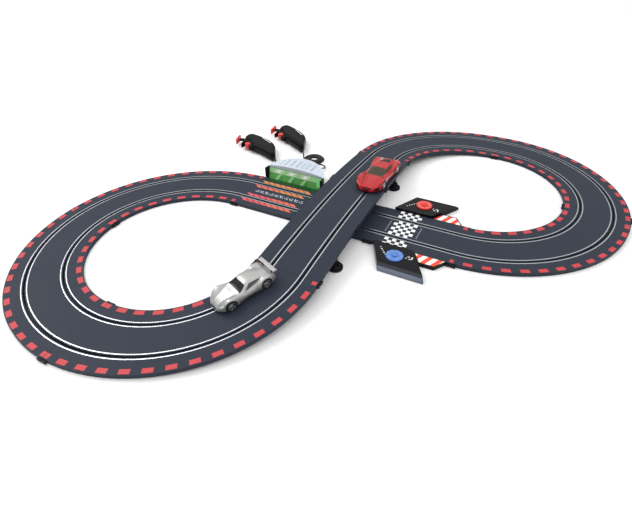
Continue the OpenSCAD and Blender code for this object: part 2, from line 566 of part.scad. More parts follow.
silver_paint = [0.82, 0.83, 0.85];
red_paint = [0.8, 0.08, 0.08];
module rear_wing() {
    translate([-53, -20, 23.4]) cube([9, 40, 1.4]);
    for (y = [-12, 11]) translate([-49, y, 15]) cube([4, 1, 8.5]);
}
module silver_body() color(silver_paint) silver_frame() {
    car_body(silver, silver_side, silver_plan, [silver_screen, silver_rear_window]);
    rear_wing();
}
module silver_windows() color([0.05, 0.05, 0.06]) silver_frame() car_windows([silver_screen, silver_rear_window]);
module silver_chassis() color([0.1, 0.1, 0.1]) silver_frame() car_chassis(silver);
module silver_front_wheels() color([0.1, 0.1, 0.1]) silver_frame() front_wheels(silver);
module silver_rear_wheels() color([0.1, 0.1, 0.1]) silver_frame() rear_wheels(silver);
module silver_pinion() color([0.8, 0.65, 0.3]) silver_frame() pinion(silver);
module silver_motor() color([0.7, 0.7, 0.72]) silver_frame() motor(silver);
module silver_guide() color([0.1, 0.1, 0.1]) silver_frame() guide(silver);
module red_body() color(red_paint) red_frame() car_body(red, red_side, red_plan, [red_screen, red_rear_window]);
module red_windows() color([0.05, 0.05, 0.06]) red_frame() car_windows([red_screen, red_rear_window]);
module red_chassis() color([0.1, 0.1, 0.1]) red_frame() car_chassis(red);
module red_front_wheels() color([0.1, 0.1, 0.1]) red_frame() front_wheels(red);
module red_rear_wheels() color([0.1, 0.1, 0.1]) red_frame() rear_wheels(red);
module red_pinion() color([0.8, 0.65, 0.3]) red_frame() pinion(red);
module red_motor() color([0.7, 0.7, 0.72]) red_frame() motor(red);
module red_guide() color([0.1, 0.1, 0.1]) red_frame() guide(red);

curve_left_back();
curve_left_outer();
curve_left_ramp();
curve_right_ramp();
curve_right_outer();
curve_right_front();
straight_connection();
straight_underpass();
straight_start_finish();
bridge_left();
bridge_middle();
bridge_right();
rails();
joint_clips();
bridge_supports();
lap_housing_red();
lap_housing_blue();
lap_dial_red();
lap_dial_blue();
lap_lever_red();
lap_lever_blue();
kerb_aprons();
battery_box_base();
battery_box_front();
battery_lid();
battery_cells();
battery_contacts();
left_casing_lower();
left_casing_upper();
left_plunger();
left_turbo_button();
left_plunger_spring();
right_casing_lower();
right_casing_upper();
right_plunger();
right_turbo_button();
right_plunger_spring();
strain_reliefs();
left_cord();
left_cord_coil();
left_plug();
right_cord();
right_cord_coil();
right_plug();
silver_body();
silver_windows();
silver_chassis();
silver_front_wheels();
silver_rear_wheels();
silver_pinion();
silver_motor();
silver_guide();
red_body();
red_windows();
red_chassis();
red_front_wheels();
red_rear_wheels();
red_pinion();
red_motor();
red_guide();
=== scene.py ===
"""Looks of a two-lane slot car track set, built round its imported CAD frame. All lengths are in metres."""

import math

import bmesh
import bpy
from mathutils import Matrix, Vector
from mathutils.bvhtree import BVHTree


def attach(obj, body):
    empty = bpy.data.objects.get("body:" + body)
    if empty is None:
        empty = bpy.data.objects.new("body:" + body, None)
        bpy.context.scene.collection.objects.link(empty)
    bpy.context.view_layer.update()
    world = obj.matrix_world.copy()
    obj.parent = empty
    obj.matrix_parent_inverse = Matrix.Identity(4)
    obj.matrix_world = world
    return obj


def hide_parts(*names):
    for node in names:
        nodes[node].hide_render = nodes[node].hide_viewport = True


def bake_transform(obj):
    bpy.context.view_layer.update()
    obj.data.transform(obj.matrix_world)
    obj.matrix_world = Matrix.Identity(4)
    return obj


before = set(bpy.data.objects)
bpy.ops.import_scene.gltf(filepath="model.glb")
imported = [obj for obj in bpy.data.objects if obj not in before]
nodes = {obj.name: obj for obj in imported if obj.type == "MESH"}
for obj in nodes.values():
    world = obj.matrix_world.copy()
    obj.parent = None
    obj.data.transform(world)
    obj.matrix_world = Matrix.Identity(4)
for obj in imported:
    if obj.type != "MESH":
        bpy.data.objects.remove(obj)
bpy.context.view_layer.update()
MM = 0.001

# ---- Driving dimensions, the same as the CAD source's ----
CURVE_R = 0.217
LOOP_X = CURVE_R * math.sqrt(2)
TRACK_W = 0.115
DECK = 0.007
RAMP_TOP_LEFT, RAMP_TOP_RIGHT = 0.021, 0.024
OVERLAY_LIFT = 0.00012
CORD_D = 0.003


def link(name, data):
    """An object of this mesh, curve, lamp or camera, put in the scene."""
    obj = bpy.data.objects.new(name, data)
    bpy.context.scene.collection.objects.link(obj)
    return obj


# ---- Camera ----
def make_camera():
    """The main view: azimuth from +Y towards +X, how far down it looks, and a slight roll."""
    azimuth, down, roll = math.radians(17.65), math.radians(38.45), math.radians(-0.79)
    data = bpy.data.cameras.new("camera")
    camera = link("camera", data)
    look = Vector((math.sin(azimuth) * math.cos(down), math.cos(azimuth) * math.cos(down), -math.sin(down)))
    camera.matrix_world = (
        Matrix.Translation((-0.2600, -0.6651, 0.4781))
        @ look.to_track_quat("-Z", "Y").to_matrix().to_4x4()
        @ Matrix.Rotation(roll, 4, "Z")
    )
    data.sensor_width = 36
    data.lens = 25.14
    data.shift_x = -0.0066
    data.clip_start, data.clip_end = 0.01, 60
    bpy.context.scene.camera = camera


make_camera()


# ---- Materials ----
def toned(colour, share, lift=0.0):
    return (*(min(1.0, c * share + lift) for c in colour), 1.0)


def set_inputs(node, values):
    for socket, value in values.items():
        node.inputs[socket].default_value = value


def add_node(tree, kind, inputs=(), **settings):
    """A shader node with these settings and input values."""
    node = tree.nodes.new("ShaderNode" + kind)
    for setting, value in settings.items():
        setattr(node, setting, value)
    set_inputs(node, dict(inputs))
    return node


def noise(tree, where, scale, detail):
    texture = add_node(tree, "TexNoise", {"Scale": scale, "Detail": detail})
    tree.links.new(where.outputs["Object"], texture.inputs["Vector"])
    return texture


def surface(name, colour, roughness, metallic=0.0, vary=0.12, grain=900.0, bump=0.15, wear=0.0, coat=0.0,
            specular=0.3, tint=None):
    """A procedural finish: mottled colour and roughness, fine grain, and paler worn patches."""
    material = bpy.data.materials.new(name)
    material.use_nodes = True
    tree = material.node_tree
    shader = tree.nodes["Principled BSDF"]
    set_inputs(shader, {"Metallic": metallic, "Coat Weight": coat, "Coat Roughness": 0.08,
                        "Specular IOR Level": specular})
    where = add_node(tree, "TexCoord")
    broad = noise(tree, where, 14.0, 4.0)
    fine = noise(tree, where, grain, 3.0)

    ends = {"A": toned(colour, 1 - vary), "B": toned(tint or colour, 1 + vary)}
    mottle = add_node(tree, "Mix", ends, data_type="RGBA")
    tree.links.new(broad.outputs["Fac"], mottle.inputs["Factor"])
    result = mottle.outputs["Result"]
    if wear > 0:
        scuffs = noise(tree, where, 60.0, 8.0)
        edge = add_node(tree, "MapRange", {"From Min": 0.62, "From Max": 0.8, "To Max": wear})
        worn = add_node(tree, "Mix", {"B": toned(colour, 1.5, 0.05)}, data_type="RGBA")
        tree.links.new(scuffs.outputs["Fac"], edge.inputs["Value"])
        tree.links.new(edge.outputs["Result"], worn.inputs["Factor"])
        tree.links.new(result, worn.inputs["A"])
        result = worn.outputs["Result"]
    tree.links.new(result, shader.inputs["Base Color"])

    gloss = add_node(tree, "MapRange", {"To Min": max(0.02, roughness * 0.8),
                                        "To Max": min(1.0, roughness * 1.25)})
    tree.links.new(broad.outputs["Fac"], gloss.inputs["Value"])
    tree.links.new(gloss.outputs["Result"], shader.inputs["Roughness"])

    relief = add_node(tree, "Bump", {"Strength": bump, "Distance": 0.0002})
    tree.links.new(fine.outputs["Fac"], relief.inputs["Height"])
    tree.links.new(relief.outputs["Normal"], shader.inputs["Normal"])
    return material


def ink(name, colour, roughness=0.5):
    return surface(name, colour, roughness, vary=0.08, wear=0.2)


DECK_PLASTIC = surface("deck_plastic", (0.027, 0.034, 0.05), 0.5, vary=0.1, grain=1400, bump=0.35, wear=0.08,
                       specular=0.12)
BLACK = surface("moulded_black", (0.008, 0.008, 0.009), 0.42, grain=1200, bump=0.25, wear=0.1, specular=0.12)
GLOSS_BLACK = surface("gloss_black", (0.005, 0.005, 0.006), 0.2, grain=300, bump=0.05, wear=0.05,
                      specular=0.12)
# painted reflection (mottled blue-grey) and darker painted shade, laid over the near lap counter's gloss-black
# slope
SLATE_PAINTED_REFLECTION = surface("slate_painted_reflection", (0.06, 0.075, 0.11), 0.22, vary=0.45, grain=300, bump=0.05, coat=0.3,
                      tint=(0.14, 0.17, 0.23))
SLATE_PAINTED_SHADE = surface("slate_painted_shade", (0.012, 0.015, 0.022), 0.2, vary=0.4, grain=300, bump=0.05, coat=0.3)
SATIN_BLACK = surface("satin_black", (0.004, 0.004, 0.005), 0.28, grain=1500, bump=0.2, wear=0.04,
                      specular=0.07)
RAIL = surface("rail_steel", (0.56, 0.57, 0.59), 0.34, metallic=1.0, vary=0.08, grain=500, bump=0.08,
               wear=0.2)
KERB_RED = ink("kerb_red", (0.53, 0.046, 0.056))
# white print, also used for the painted highlights on the battery box front
WHITE_PRINT_AND_HIGHLIGHT = surface("white_print_and_highlight", (0.86, 0.86, 0.85), 0.45, vary=0.04, wear=0.2)
PRINT_GREY = ink("print_grey", (0.3, 0.32, 0.35))
PRINT_ORANGE = ink("print_orange", (0.64, 0.22, 0.06))
PRINT_CORAL = ink("print_coral", (0.68, 0.13, 0.075))
PRINT_PINK = ink("print_pink", (0.62, 0.075, 0.1))
PRINT_SILVER = ink("print_silver", (0.6, 0.62, 0.68), 0.4)
STRIPE_RED = surface("stripe_red", (0.78, 0.07, 0.02), 0.45, vary=0.05, wear=0.15)
DIAL_RED = surface("dial_red", (0.66, 0.032, 0.024), 0.38, vary=0.06, coat=0.2)
DIAL_BLUE = surface("dial_blue", (0.045, 0.13, 0.42), 0.4, vary=0.2, coat=0.2, tint=(0.09, 0.22, 0.55))
TRIGGER_RED = surface("trigger_red", (0.62, 0.025, 0.022), 0.3, vary=0.06, coat=0.3)
LID = surface("lid_pale_grey", (0.52, 0.57, 0.65), 0.4, vary=0.08, grain=700, wear=0.2)
LID_GREEN = surface("lid_groove_green", (0.3, 0.42, 0.4), 0.45)
GREEN_DARK = surface("green_dark", (0.015, 0.14, 0.02), 0.16, vary=0.5, coat=0.6, tint=(0.05, 0.3, 0.05))
GREEN_MID = surface("green_mid", (0.035, 0.22, 0.035), 0.14, vary=0.4, coat=0.6, tint=(0.1, 0.36, 0.08))
# painted light for the battery box front: a pale painted reflection, a paler painted halo round the highlights,
# and a bright painted glow along one end
GREEN_PAINTED_REFLECTION = surface("green_painted_reflection", (0.3, 0.56, 0.26), 0.12, vary=0.25, coat=0.6)
GREEN_PAINTED_HALO = surface("green_painted_halo", (0.48, 0.68, 0.45), 0.14, vary=0.2, coat=0.6)
GREEN_PAINTED_EDGE_GLOW = surface("green_painted_edge_glow", (0.2, 0.66, 0.22), 0.14, vary=0.2, coat=0.6)
GREEN_SHADE = surface("green_shade", (0.006, 0.035, 0.01), 0.4, vary=0.4, specular=0.15,
                      tint=(0.01, 0.07, 0.015))
CELL = surface("cell_jacket", (0.5, 0.32, 0.08), 0.3, metallic=0.6)
NICKEL = surface("nickel", (0.75, 0.74, 0.72), 0.22, metallic=1.0, wear=0.2)
CORD = surface("cord_sheath", (0.016, 0.016, 0.017), 0.5, grain=1800, bump=0.3)
SILVER_PAINT = surface("silver_lacquer", (0.42, 0.42, 0.41), 0.32, metallic=0.55, vary=0.07, grain=4000,
                       bump=0.04, coat=0.15, wear=0.1)
RED_PAINT = surface("red_lacquer", (0.45, 0.006, 0.01), 0.24, vary=0.12, grain=4000, bump=0.04, coat=0.25,
                    wear=0.04)
SMOKED = surface("smoked_glazing", (0.014, 0.014, 0.015), 0.14, vary=0.2, grain=400, bump=0.03, coat=0.12,
                 specular=0.15)
OLIVE_SMOKED = surface("olive_glazing", (0.03, 0.026, 0.016), 0.16, vary=0.25, grain=400, bump=0.03,
                       coat=0.15, specular=0.15, tint=(0.1, 0.08, 0.045))
TYRE = surface("tyre_rubber", (0.014, 0.014, 0.014), 0.62, grain=1600, bump=0.5, wear=0.15)
RIM = surface("rim_silver", (0.72, 0.73, 0.75), 0.25, metallic=0.9, wear=0.15)
BRASS = surface("gear_brass", (0.68, 0.47, 0.17), 0.3, metallic=1.0, wear=0.15)
CAN = surface("motor_can", (0.5, 0.5, 0.52), 0.35, metallic=1.0, wear=0.15)
LAMP = surface("lamp_lens", (0.75, 0.78, 0.8), 0.1, vary=0.1, coat=0.6)
GLASS_GREY = surface("glazing_grey", (0.08, 0.085, 0.09), 0.18, vary=0.25, coat=0.5)
DARK_LAMP = surface("dark_lamp_lens", (0.12, 0.01, 0.01), 0.12, vary=0.2, coat=0.6)
FLOOR = surface("floor", (0.9, 0.9, 0.9), 0.75, vary=0.01, grain=40, bump=0.02)


# ---- Mesh helpers ----
def mesh_of(name, verts, faces):
    mesh = bpy.data.meshes.new(name)
    mesh.from_pydata([tuple(v) for v in verts], [], faces)
    return mesh


def take_mesh(obj):
    """The mesh that an object shows, with its modifiers applied. The object itself is removed."""
    bpy.context.view_layer.update()
    mesh = bpy.data.meshes.new_from_object(obj.evaluated_get(bpy.context.evaluated_depsgraph_get()))
    bpy.data.objects.remove(obj)
    return mesh


def piece(name, verts, faces, material, body, slot=None, smooth=None, at=None, replaces=()):
    """A piece of the set with its faces turned outwards."""
    mesh = mesh_of(name, verts, faces)
    work = bmesh.new()
    work.from_mesh(mesh)
    bmesh.ops.recalc_face_normals(work, faces=work.faces)
    work.to_mesh(mesh)
    work.free()
    return add_mesh(name, mesh, material, body, at, replaces, smooth)


def add_mesh(name, mesh, material, body, at=None, replaces=(), smooth=40):
    """A piece of the set. at puts it in the row frame; edges up to smooth degrees are shaded round."""
    if at is not None:
        mesh.transform(at)
    mesh.materials.clear()
    mesh.materials.append(material)
    mesh.name = name
    obj = link(name, mesh)
    if smooth is not None:
        round_off(obj, smooth)
    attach(obj, body)
    if replaces:
        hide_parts(*replaces)
    return obj


def round_off(obj, degrees):
    """Smooth shading over edges flatter than this."""
    obj.data.shade_smooth()
    obj.data.set_sharp_from_angle(angle=math.radians(degrees))


def bevel(obj, width, segments=2, degrees=35):
    modifier = obj.modifiers.new("bevel", "BEVEL")
    modifier.width = width
    modifier.segments = segments
    modifier.limit_method = "ANGLE"
    modifier.angle_limit = math.radians(degrees)
    return obj


def join_shapes(shapes):
    """Several (verts, faces) as one."""
    verts, faces = [], []
    for some_verts, some_faces in shapes:
        start = len(verts)
        verts.extend(some_verts)
        faces.extend([tuple(start + i for i in f) for f in some_faces])
    return verts, faces


def block(low, high):
    """A box between two opposite corners."""
    (x0, y0, z0), (x1, y1, z1) = low, high
    verts = [Vector((x, y, z)) for z in (z0, z1) for y in (y0, y1) for x in (x0, x1)]
    faces = [(0, 2, 3, 1), (4, 5, 7, 6), (0, 1, 5, 4), (2, 6, 7, 3), (0, 4, 6, 2), (1, 3, 7, 5)]
    return verts, faces


def block_mm(low, high):
    return block([c * MM for c in low], [c * MM for c in high])


def prism(outline, z0, z1):
    n = len(outline)
    verts = [Vector((x, y, z)) for z in (z0, z1) for x, y in outline]
    sides = [(i, (i + 1) % n, n + (i + 1) % n, n + i) for i in range(n)]
    return verts, [tuple(range(n - 1, -1, -1)), tuple(range(n, 2 * n))] + sides


def lathe(profile, steps=48):
    """A solid of revolution about z from (radius, height) points; a radius of 0 closes an end."""
    verts, faces = [], []
    for radius, height in profile:
        for i in range(steps):
            turn = 2 * math.pi * i / steps
            verts.append(Vector((radius * math.cos(turn), radius * math.sin(turn), height)))
    for k in range(len(profile) - 1):
        for i in range(steps):
            j = (i + 1) % steps
            faces.append((k * steps + i, k * steps + j, (k + 1) * steps + j, (k + 1) * steps + i))
    faces.append(tuple(range(steps - 1, -1, -1)))
    faces.append(tuple(range((len(profile) - 1) * steps, len(profile) * steps)))
    return verts, faces


def moved(shape, matrix):
    return [matrix @ v for v in shape[0]], shape[1]


def smooth_between(keys, x):
    """A smooth curve through (x, value) points."""
    if x <= keys[0][0]:
        return keys[0][1]
    if x >= keys[-1][0]:
        return keys[-1][1]
    i = max(k for k in range(len(keys) - 1) if keys[k][0] <= x)
    (x0, y0), (x1, y1) = keys[i], keys[i + 1]
    before, after = keys[max(0, i - 1)], keys[min(len(keys) - 1, i + 2)]
    slope0 = (y1 - before[1]) / (x1 - before[0])
    slope1 = (after[1] - y0) / (after[0] - x0)
    t, width = (x - x0) / (x1 - x0), x1 - x0
    return (
        (2 * t**3 - 3 * t**2 + 1) * y0
        + (t**3 - 2 * t**2 + t) * width * slope0
        + (3 * t**2 - 2 * t**3) * y1
        + (t**3 - t**2) * width * slope1
    )


# ---- Cords: route points from the grip, a coil of ten turns, and on to the plug ----
COIL_RADII = (0.0225, 0.0195, 0.0165, 0.0135, 0.0105)
LANE_CHANGE = 60  # degrees over which the wire moves to its next turn


def coil_points(centre, start, leave, side=1):
    """Ten turns in two layers, counter-clockwise from direction start to direction leave."""
    stops = [(r, 0.0015) for r in COIL_RADII] + [(r, 0.0045) for r in reversed(COIL_RADII)]
    span = 360 * (len(stops) - 1) + (leave - start) % 360
    points = []
    for degrees in range(0, int(span) + 1, 10):
        turn, into = divmod(degrees, 360)
        here = stops[turn]
        following = stops[min(turn + 1, len(stops) - 1)]
        share = max(0.0, (into - 360 + LANE_CHANGE) / LANE_CHANGE)
        ease = share * share * (3 - 2 * share)
        radius = here[0] + (following[0] - here[0]) * ease
        height = here[1] + (following[1] - here[1]) * ease
        angle = math.radians(start + degrees)
        points.append((centre[0] + radius * math.cos(angle), centre[1] + radius * math.sin(angle), height))
    return points


LEFT_ROUTE_IN = [(-0.0735, 0.252, 0.012), (-0.0735, 0.248, 0.0114), (-0.0735, 0.243, 0.0084),
                 (-0.0735, 0.238, 0.0044), (-0.0735, 0.234, 0.002)]
LEFT_ROUTE_OUT = [(-0.030, 0.221, 0.0036), (-0.0265, 0.2255, 0.0022), (-0.0237, 0.2302, 0.0015),
                  (-0.0201, 0.2327, 0.0015), (-0.0157, 0.2331, 0.0015), (-0.0117, 0.2312, 0.0017),
                  (-0.0092, 0.2276, 0.0026), (-0.0088, 0.2235, 0.0044), (-0.011, 0.2192, 0.0066),
                  (-0.0145, 0.2148, 0.008)]
RIGHT_ROUTE_IN = [(-0.0008, 0.2732, 0.012), (-0.0015, 0.2693, 0.0114), (-0.0024, 0.2642, 0.0084),
                  (-0.0032, 0.2592, 0.0044), (-0.0038, 0.2553, 0.002)]
RIGHT_ROUTE_OUT = [(0.018, 0.2242, 0.003), (0.025, 0.2196, 0.0015), (0.0305, 0.2125, 0.0015),
                   (0.0315, 0.204, 0.0015), (0.0275, 0.1965, 0.003), (0.0223, 0.1919, 0.0058),
                   (0.0176, 0.189, 0.0074), (0.013, 0.1862, 0.008)]


def lay_cord(side, points):
    """A free cord through the points, from the grip's strain relief to the plug."""
    data = bpy.data.curves.new(side + "_cord_wire", "CURVE")
    data.dimensions = "3D"
    data.bevel_depth = CORD_D / 2
    data.bevel_resolution = 3
    data.use_fill_caps = True
    spline = data.splines.new("POLY")
    spline.points.add(len(points) - 1)
    for i, p in enumerate(points):
        spline.points[i].co = (*p, 1)
    spline.use_smooth = True
    data.materials.append(CORD)
    obj = link(side + "_cord_wire", data)
    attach(obj, "track")
    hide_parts(side + "_cord", side + "_cord_coil")


left_points = LEFT_ROUTE_IN + coil_points((-0.051, 0.231), 180, 320) + LEFT_ROUTE_OUT
right_points = RIGHT_ROUTE_IN + coil_points((0.019, 0.248), 170.4, 250) + RIGHT_ROUTE_OUT
lay_cord("left", left_points)
lay_cord("right", right_points)

# ---- Places on the deck ----
ROOT_HALF = math.sqrt(0.5)


def on_lower(s, n, z=DECK):
    """A point of the lower straight: s along it towards the right loop, n away from the viewer."""
    return Vector(((s + n) * ROOT_HALF, (n - s) * ROOT_HALF, z))


def on_left_loop(degrees, out, z=DECK):
    """A point of the left loop at a direction from its centre, out from the track's middle line."""
    angle, r = math.radians(degrees), CURVE_R + out
    rise = RAMP_TOP_LEFT * max(0.0, (degrees - 225) / 90) ** 2.2
    return Vector((r * math.cos(angle) - LOOP_X, r * math.sin(angle), z + rise))


def on_right_loop(degrees, out, z=DECK):
    angle, r = math.radians(degrees), CURVE_R + out
    rise = RAMP_TOP_RIGHT * max(0.0, (degrees - 45) / 90) ** 1.4
    return Vector((r * math.cos(angle) + LOOP_X, r * math.sin(angle), z + rise))


def patch_of_print_and_shade(place, a0, a1, b0, b1, steps=1, slant=0.0, lift=OVERLAY_LIFT):
    """A flat patch from a0 to a1 along and b0 to b1 across, its far side moved along by slant; it carries print,
    and painted shade on the deck before the battery box.
    """
    verts, faces = [], []
    for i in range(steps + 1):
        a = a0 + (a1 - a0) * i / steps
        verts.append(place(a, b0) + Vector((0, 0, lift)))
        verts.append(place(a + slant, b1) + Vector((0, 0, lift)))
    for i in range(steps):
        faces.append((2 * i, 2 * i + 2, 2 * i + 3, 2 * i + 1))
    return verts, faces


# lays print, and also painted shade and painted light, as thin patches over the parts
def lay_print_and_painted_light(name, patches, material, body="track", slot="track_plastic"):
    return piece(name, *join_shapes(patches), material, body, slot)


# ---- Track ----
def finish_nodes(material, names):
    for name in names:
        nodes[name].data.materials.clear()
        nodes[name].data.materials.append(material)


def kerbs(name, place, a0, out, dash, periods):
    """Red dashes round a quarter turn from a0, beside the edge at out."""
    turn = 90 / periods
    patches = []
    for i in range(periods + 1):
        low = a0 + i * turn - turn * dash / 2
        high = a0 + i * turn + turn * dash / 2
        low, high = max(low, a0 + 0.1), min(high, a0 + 90 - 0.1)
        patches.append(patch_of_print_and_shade(place, low, high, out - 0.004, out + 0.004, steps=4))
    return lay_print_and_painted_light(name, patches, KERB_RED)


def dress_track():
    finish_nodes(DECK_PLASTIC, ["curve_left_back", "curve_left_outer", "curve_left_ramp", "curve_right_ramp",
                                "curve_right_outer", "curve_right_front", "straight_connection",
                                "straight_underpass", "straight_start_finish", "bridge_left",
                                "bridge_middle", "bridge_right"])
    finish_nodes(RAIL, ["rails"])
    finish_nodes(BLACK, ["joint_clips", "bridge_supports"])
    edge = TRACK_W / 2 - 0.0057
    for label, place, a0 in (("left_back", on_left_loop, 45), ("left_outer", on_left_loop, 135),
                             ("left_ramp", on_left_loop, 225), ("right_outer", on_right_loop, -45),
                             ("right_ramp", on_right_loop, 45), ("right_front", on_right_loop, -135)):
        kerbs("kerb_" + label + "_inner", place, a0, -edge, 0.55, 9)
        kerbs("kerb_" + label + "_outer", place, a0, edge, 0.5, 14)


def dress_connection():
    """Slanted blocks beside both slots, and a row of plain bars between them."""
    rows = [("far", 0.0345, 0.0425, -0.200, PRINT_ORANGE, PRINT_ORANGE),
            ("far_inner", 0.0135, 0.0215, -0.205, PRINT_CORAL, PRINT_ORANGE),
            ("near_inner", -0.0215, -0.0135, -0.203, PRINT_PINK, PRINT_CORAL),
            ("near", -0.0425, -0.0345, -0.204, PRINT_PINK, PRINT_CORAL)]
    for label, n0, n1, start, first, last in rows:
        starts = [start + i * 0.0142 for i in range(8)]
        blocks = [patch_of_print_and_shade(on_lower, s, s + 0.012, n0, n1, slant=-0.0105) for s in starts]
        lay_print_and_painted_light("connection_blocks_" + label + "_left", blocks[:4], first)
        lay_print_and_painted_light("connection_blocks_" + label + "_right", blocks[4:], last)
    bars = []
    for i in range(10):
        start, height = -0.199 + i * 0.0115, 0.0018 + 0.0012 * (i % 3)
        bars.append(patch_of_print_and_shade(on_lower, start, start + 0.0018, -0.0035, -0.0035 + 2 * height,
                                slant=-0.003))
        bars.append(patch_of_print_and_shade(on_lower, start + 0.0024, start + 0.007, -0.0035, -0.0018))
        bars.append(patch_of_print_and_shade(on_lower, start + 0.0012, start + 0.0062, 0.0018, 0.0032, slant=-0.001))
    lay_print_and_painted_light("connection_bars", bars, PRINT_SILVER)


def checker(name, s0, s1, n0, n1, columns, rows):
    ds, dn = (s1 - s0) / columns, (n1 - n0) / rows
    whites = [patch_of_print_and_shade(on_lower, s0 + i * ds, s0 + (i + 1) * ds, n0 + j * dn, n0 + (j + 1) * dn)
              for i in range(columns) for j in range(rows) if (i + j) % 2 == 0]
    lay_print_and_painted_light(name, whites, WHITE_PRINT_AND_HIGHLIGHT)


def dress_start():
    checker("start_checker_middle", 0.098, 0.141, -0.023, 0.023, 6, 6)
    checker("start_checker_far", 0.098, 0.141, 0.0345, 0.057, 6, 3)
    checker("start_checker_near", 0.098, 0.141, -0.057, -0.0345, 6, 3)
    bars = [patch_of_print_and_shade(on_lower, s, s + 0.0016, -0.018 + i * 0.0062, -0.018 + i * 0.0062 + 0.0042)
            for s in (0.0905, 0.1485) for i in range(6)]
    lay_print_and_painted_light("start_bars", bars, PRINT_GREY)


def dress_aprons():
    """Orange-red and white stripes over the black edge of each apron."""
    finish_nodes(BLACK, ["kerb_aprons"])
    border = 0.0022
    for side, label in ((1, "far"), (-1, "near")):
        stripes = {0: [], 1: []}
        inner, outer = 0.0583, 0.0805 - border
        for i in range(8):
            low, high = 0.1595 + i * 0.0085 - 0.006, 0.1595 + (i + 1) * 0.0085 - 0.006
            stripes[i % 2].append(apron_stripe(low, high, inner, outer, side))
        lay_print_and_painted_light("apron_white_" + label, [s for s in stripes[0] if s], WHITE_PRINT_AND_HIGHLIGHT, slot="apron_white")
        lay_print_and_painted_light("apron_red_" + label, [s for s in stripes[1] if s], STRIPE_RED, slot="apron_white")


def apron_stripe(low, high, inner, outer, side):
    """One stripe, slanted along the track and cut to the apron's plan."""
    slant = 0.009 * side
    depth = outer - inner

    def inside(s, share):
        left = 0.1605 + 0.0125 * share
        right = 0.2115 - 0.0135 * share
        return min(max(s, left), right)

    verts, faces, steps = [], [], 6
    for k in range(steps + 1):
        share = k / steps
        for s in (low, high):
            n = (inner + depth * share) * side
            verts.append(on_lower(inside(s + slant * (share - 0.5), share), n) + Vector((0, 0, OVERLAY_LIFT)))
    if (verts[1] - verts[0]).length < 1e-5 and (verts[-1] - verts[-2]).length < 1e-5:
        return None
    for k in range(steps):
        faces.append((2 * k, 2 * k + 1, 2 * k + 3, 2 * k + 2))
    return verts, faces


# ---- Lap counters ----
DIAL_S, DIAL_N, HOUSING_TOP = 0.133, 0.087, 0.012


def dress_lap_counters():
    finish_nodes(GLOSS_BLACK, ["lap_housing_red", "lap_housing_blue"])
    finish_nodes(DIAL_RED, ["lap_dial_red"])
    finish_nodes(DIAL_BLUE, ["lap_dial_blue"])
    finish_nodes(BLACK, ["lap_lever_red", "lap_lever_blue"])
    for colour, side in (("red", 1), ("blue", -1)):
        centre = on_lower(DIAL_S, DIAL_N * side, 0)
        ticks = []
        for i in range(20):
            turn = math.radians(18 * i)
            along = Vector((math.cos(turn), math.sin(turn), 0))
            across = Vector((-math.sin(turn), math.cos(turn), 0))
            inner, outer = (0.0085, 0.0122) if i % 5 == 0 else (0.0105, 0.0122)
            corners = [centre + along * r + across * w + Vector((0, 0, 0.0143))
                       for r, w in ((inner, -0.0003), (outer, -0.0003), (outer, 0.0003), (inner, 0.0003))]
            ticks.append((corners, [(0, 1, 2, 3)]))
        lay_print_and_painted_light("dial_ticks_" + colour, ticks, WHITE_PRINT_AND_HIGHLIGHT if colour == "red" else PRINT_SILVER,
                "lap_counter_" + colour, "dial_" + colour)
        marks = []
        for i in range(7):
            s = DIAL_S - 0.031 + 0.0035 * i
            n = side * (0.0715 + 0.004 * i)
            marks.append(patch_of_print_and_shade(on_lower, s, s + 0.0022, n, n + side * (0.0016 + 0.0008 * (i % 2)),
                                     lift=HOUSING_TOP - DECK + OVERLAY_LIFT))
        for s, n, long, wide in ((0.153, 0.078, 0.0045, 0.0015), (0.1605, 0.077, 0.002, 0.008),
                                 (0.1565, 0.0835, 0.006, 0.0015), (0.151, 0.0825, 0.002, 0.002)):
            marks.append(patch_of_print_and_shade(on_lower, s, s + long, n * side, (n + wide) * side,
                                     lift=HOUSING_TOP - DECK + OVERLAY_LIFT))
        lay_print_and_painted_light("housing_marks_" + colour, marks, WHITE_PRINT_AND_HIGHLIGHT, slot="gloss_black")
        # over the near housing's slope: painted shade on the upper part, a paler blue-grey painted reflection
        # below
        if side < 0:
            low, high = -0.1211, -0.1122
            slope = [on_lower(0.1163, low, 0.0049), on_lower(0.1928, low, 0.0049),
                     on_lower(0.1872, high, 0.0119), on_lower(0.1112, high, 0.0119),
                     on_lower(0.1163, low, 0.0005), on_lower(0.1928, low, 0.0005)]
            out = Vector((-ROOT_HALF, -ROOT_HALF, 1.0)).normalized() * 0.00015
            slope = [v + out for v in slope]
            middle = [slope[0].lerp(slope[3], 0.45), slope[1].lerp(slope[2], 0.45)]
            piece("housing_slope_painted_shade", middle[:] + [slope[2], slope[3]], [(0, 1, 2, 3)], SLATE_PAINTED_SHADE, "track",
                  "gloss_black")
            piece("housing_slope_painted_reflection", [slope[4], slope[5], slope[1], slope[0], middle[1], middle[0]],
                  [(0, 1, 2, 3), (3, 2, 4, 5)], SLATE_PAINTED_REFLECTION, "track", "gloss_black")


# ---- Battery box ----
BOX_S = -0.144
LID_TOP, ROOF_R = 0.0373, 0.42
LOWER = Matrix.Rotation(math.radians(-45), 4, "Z")


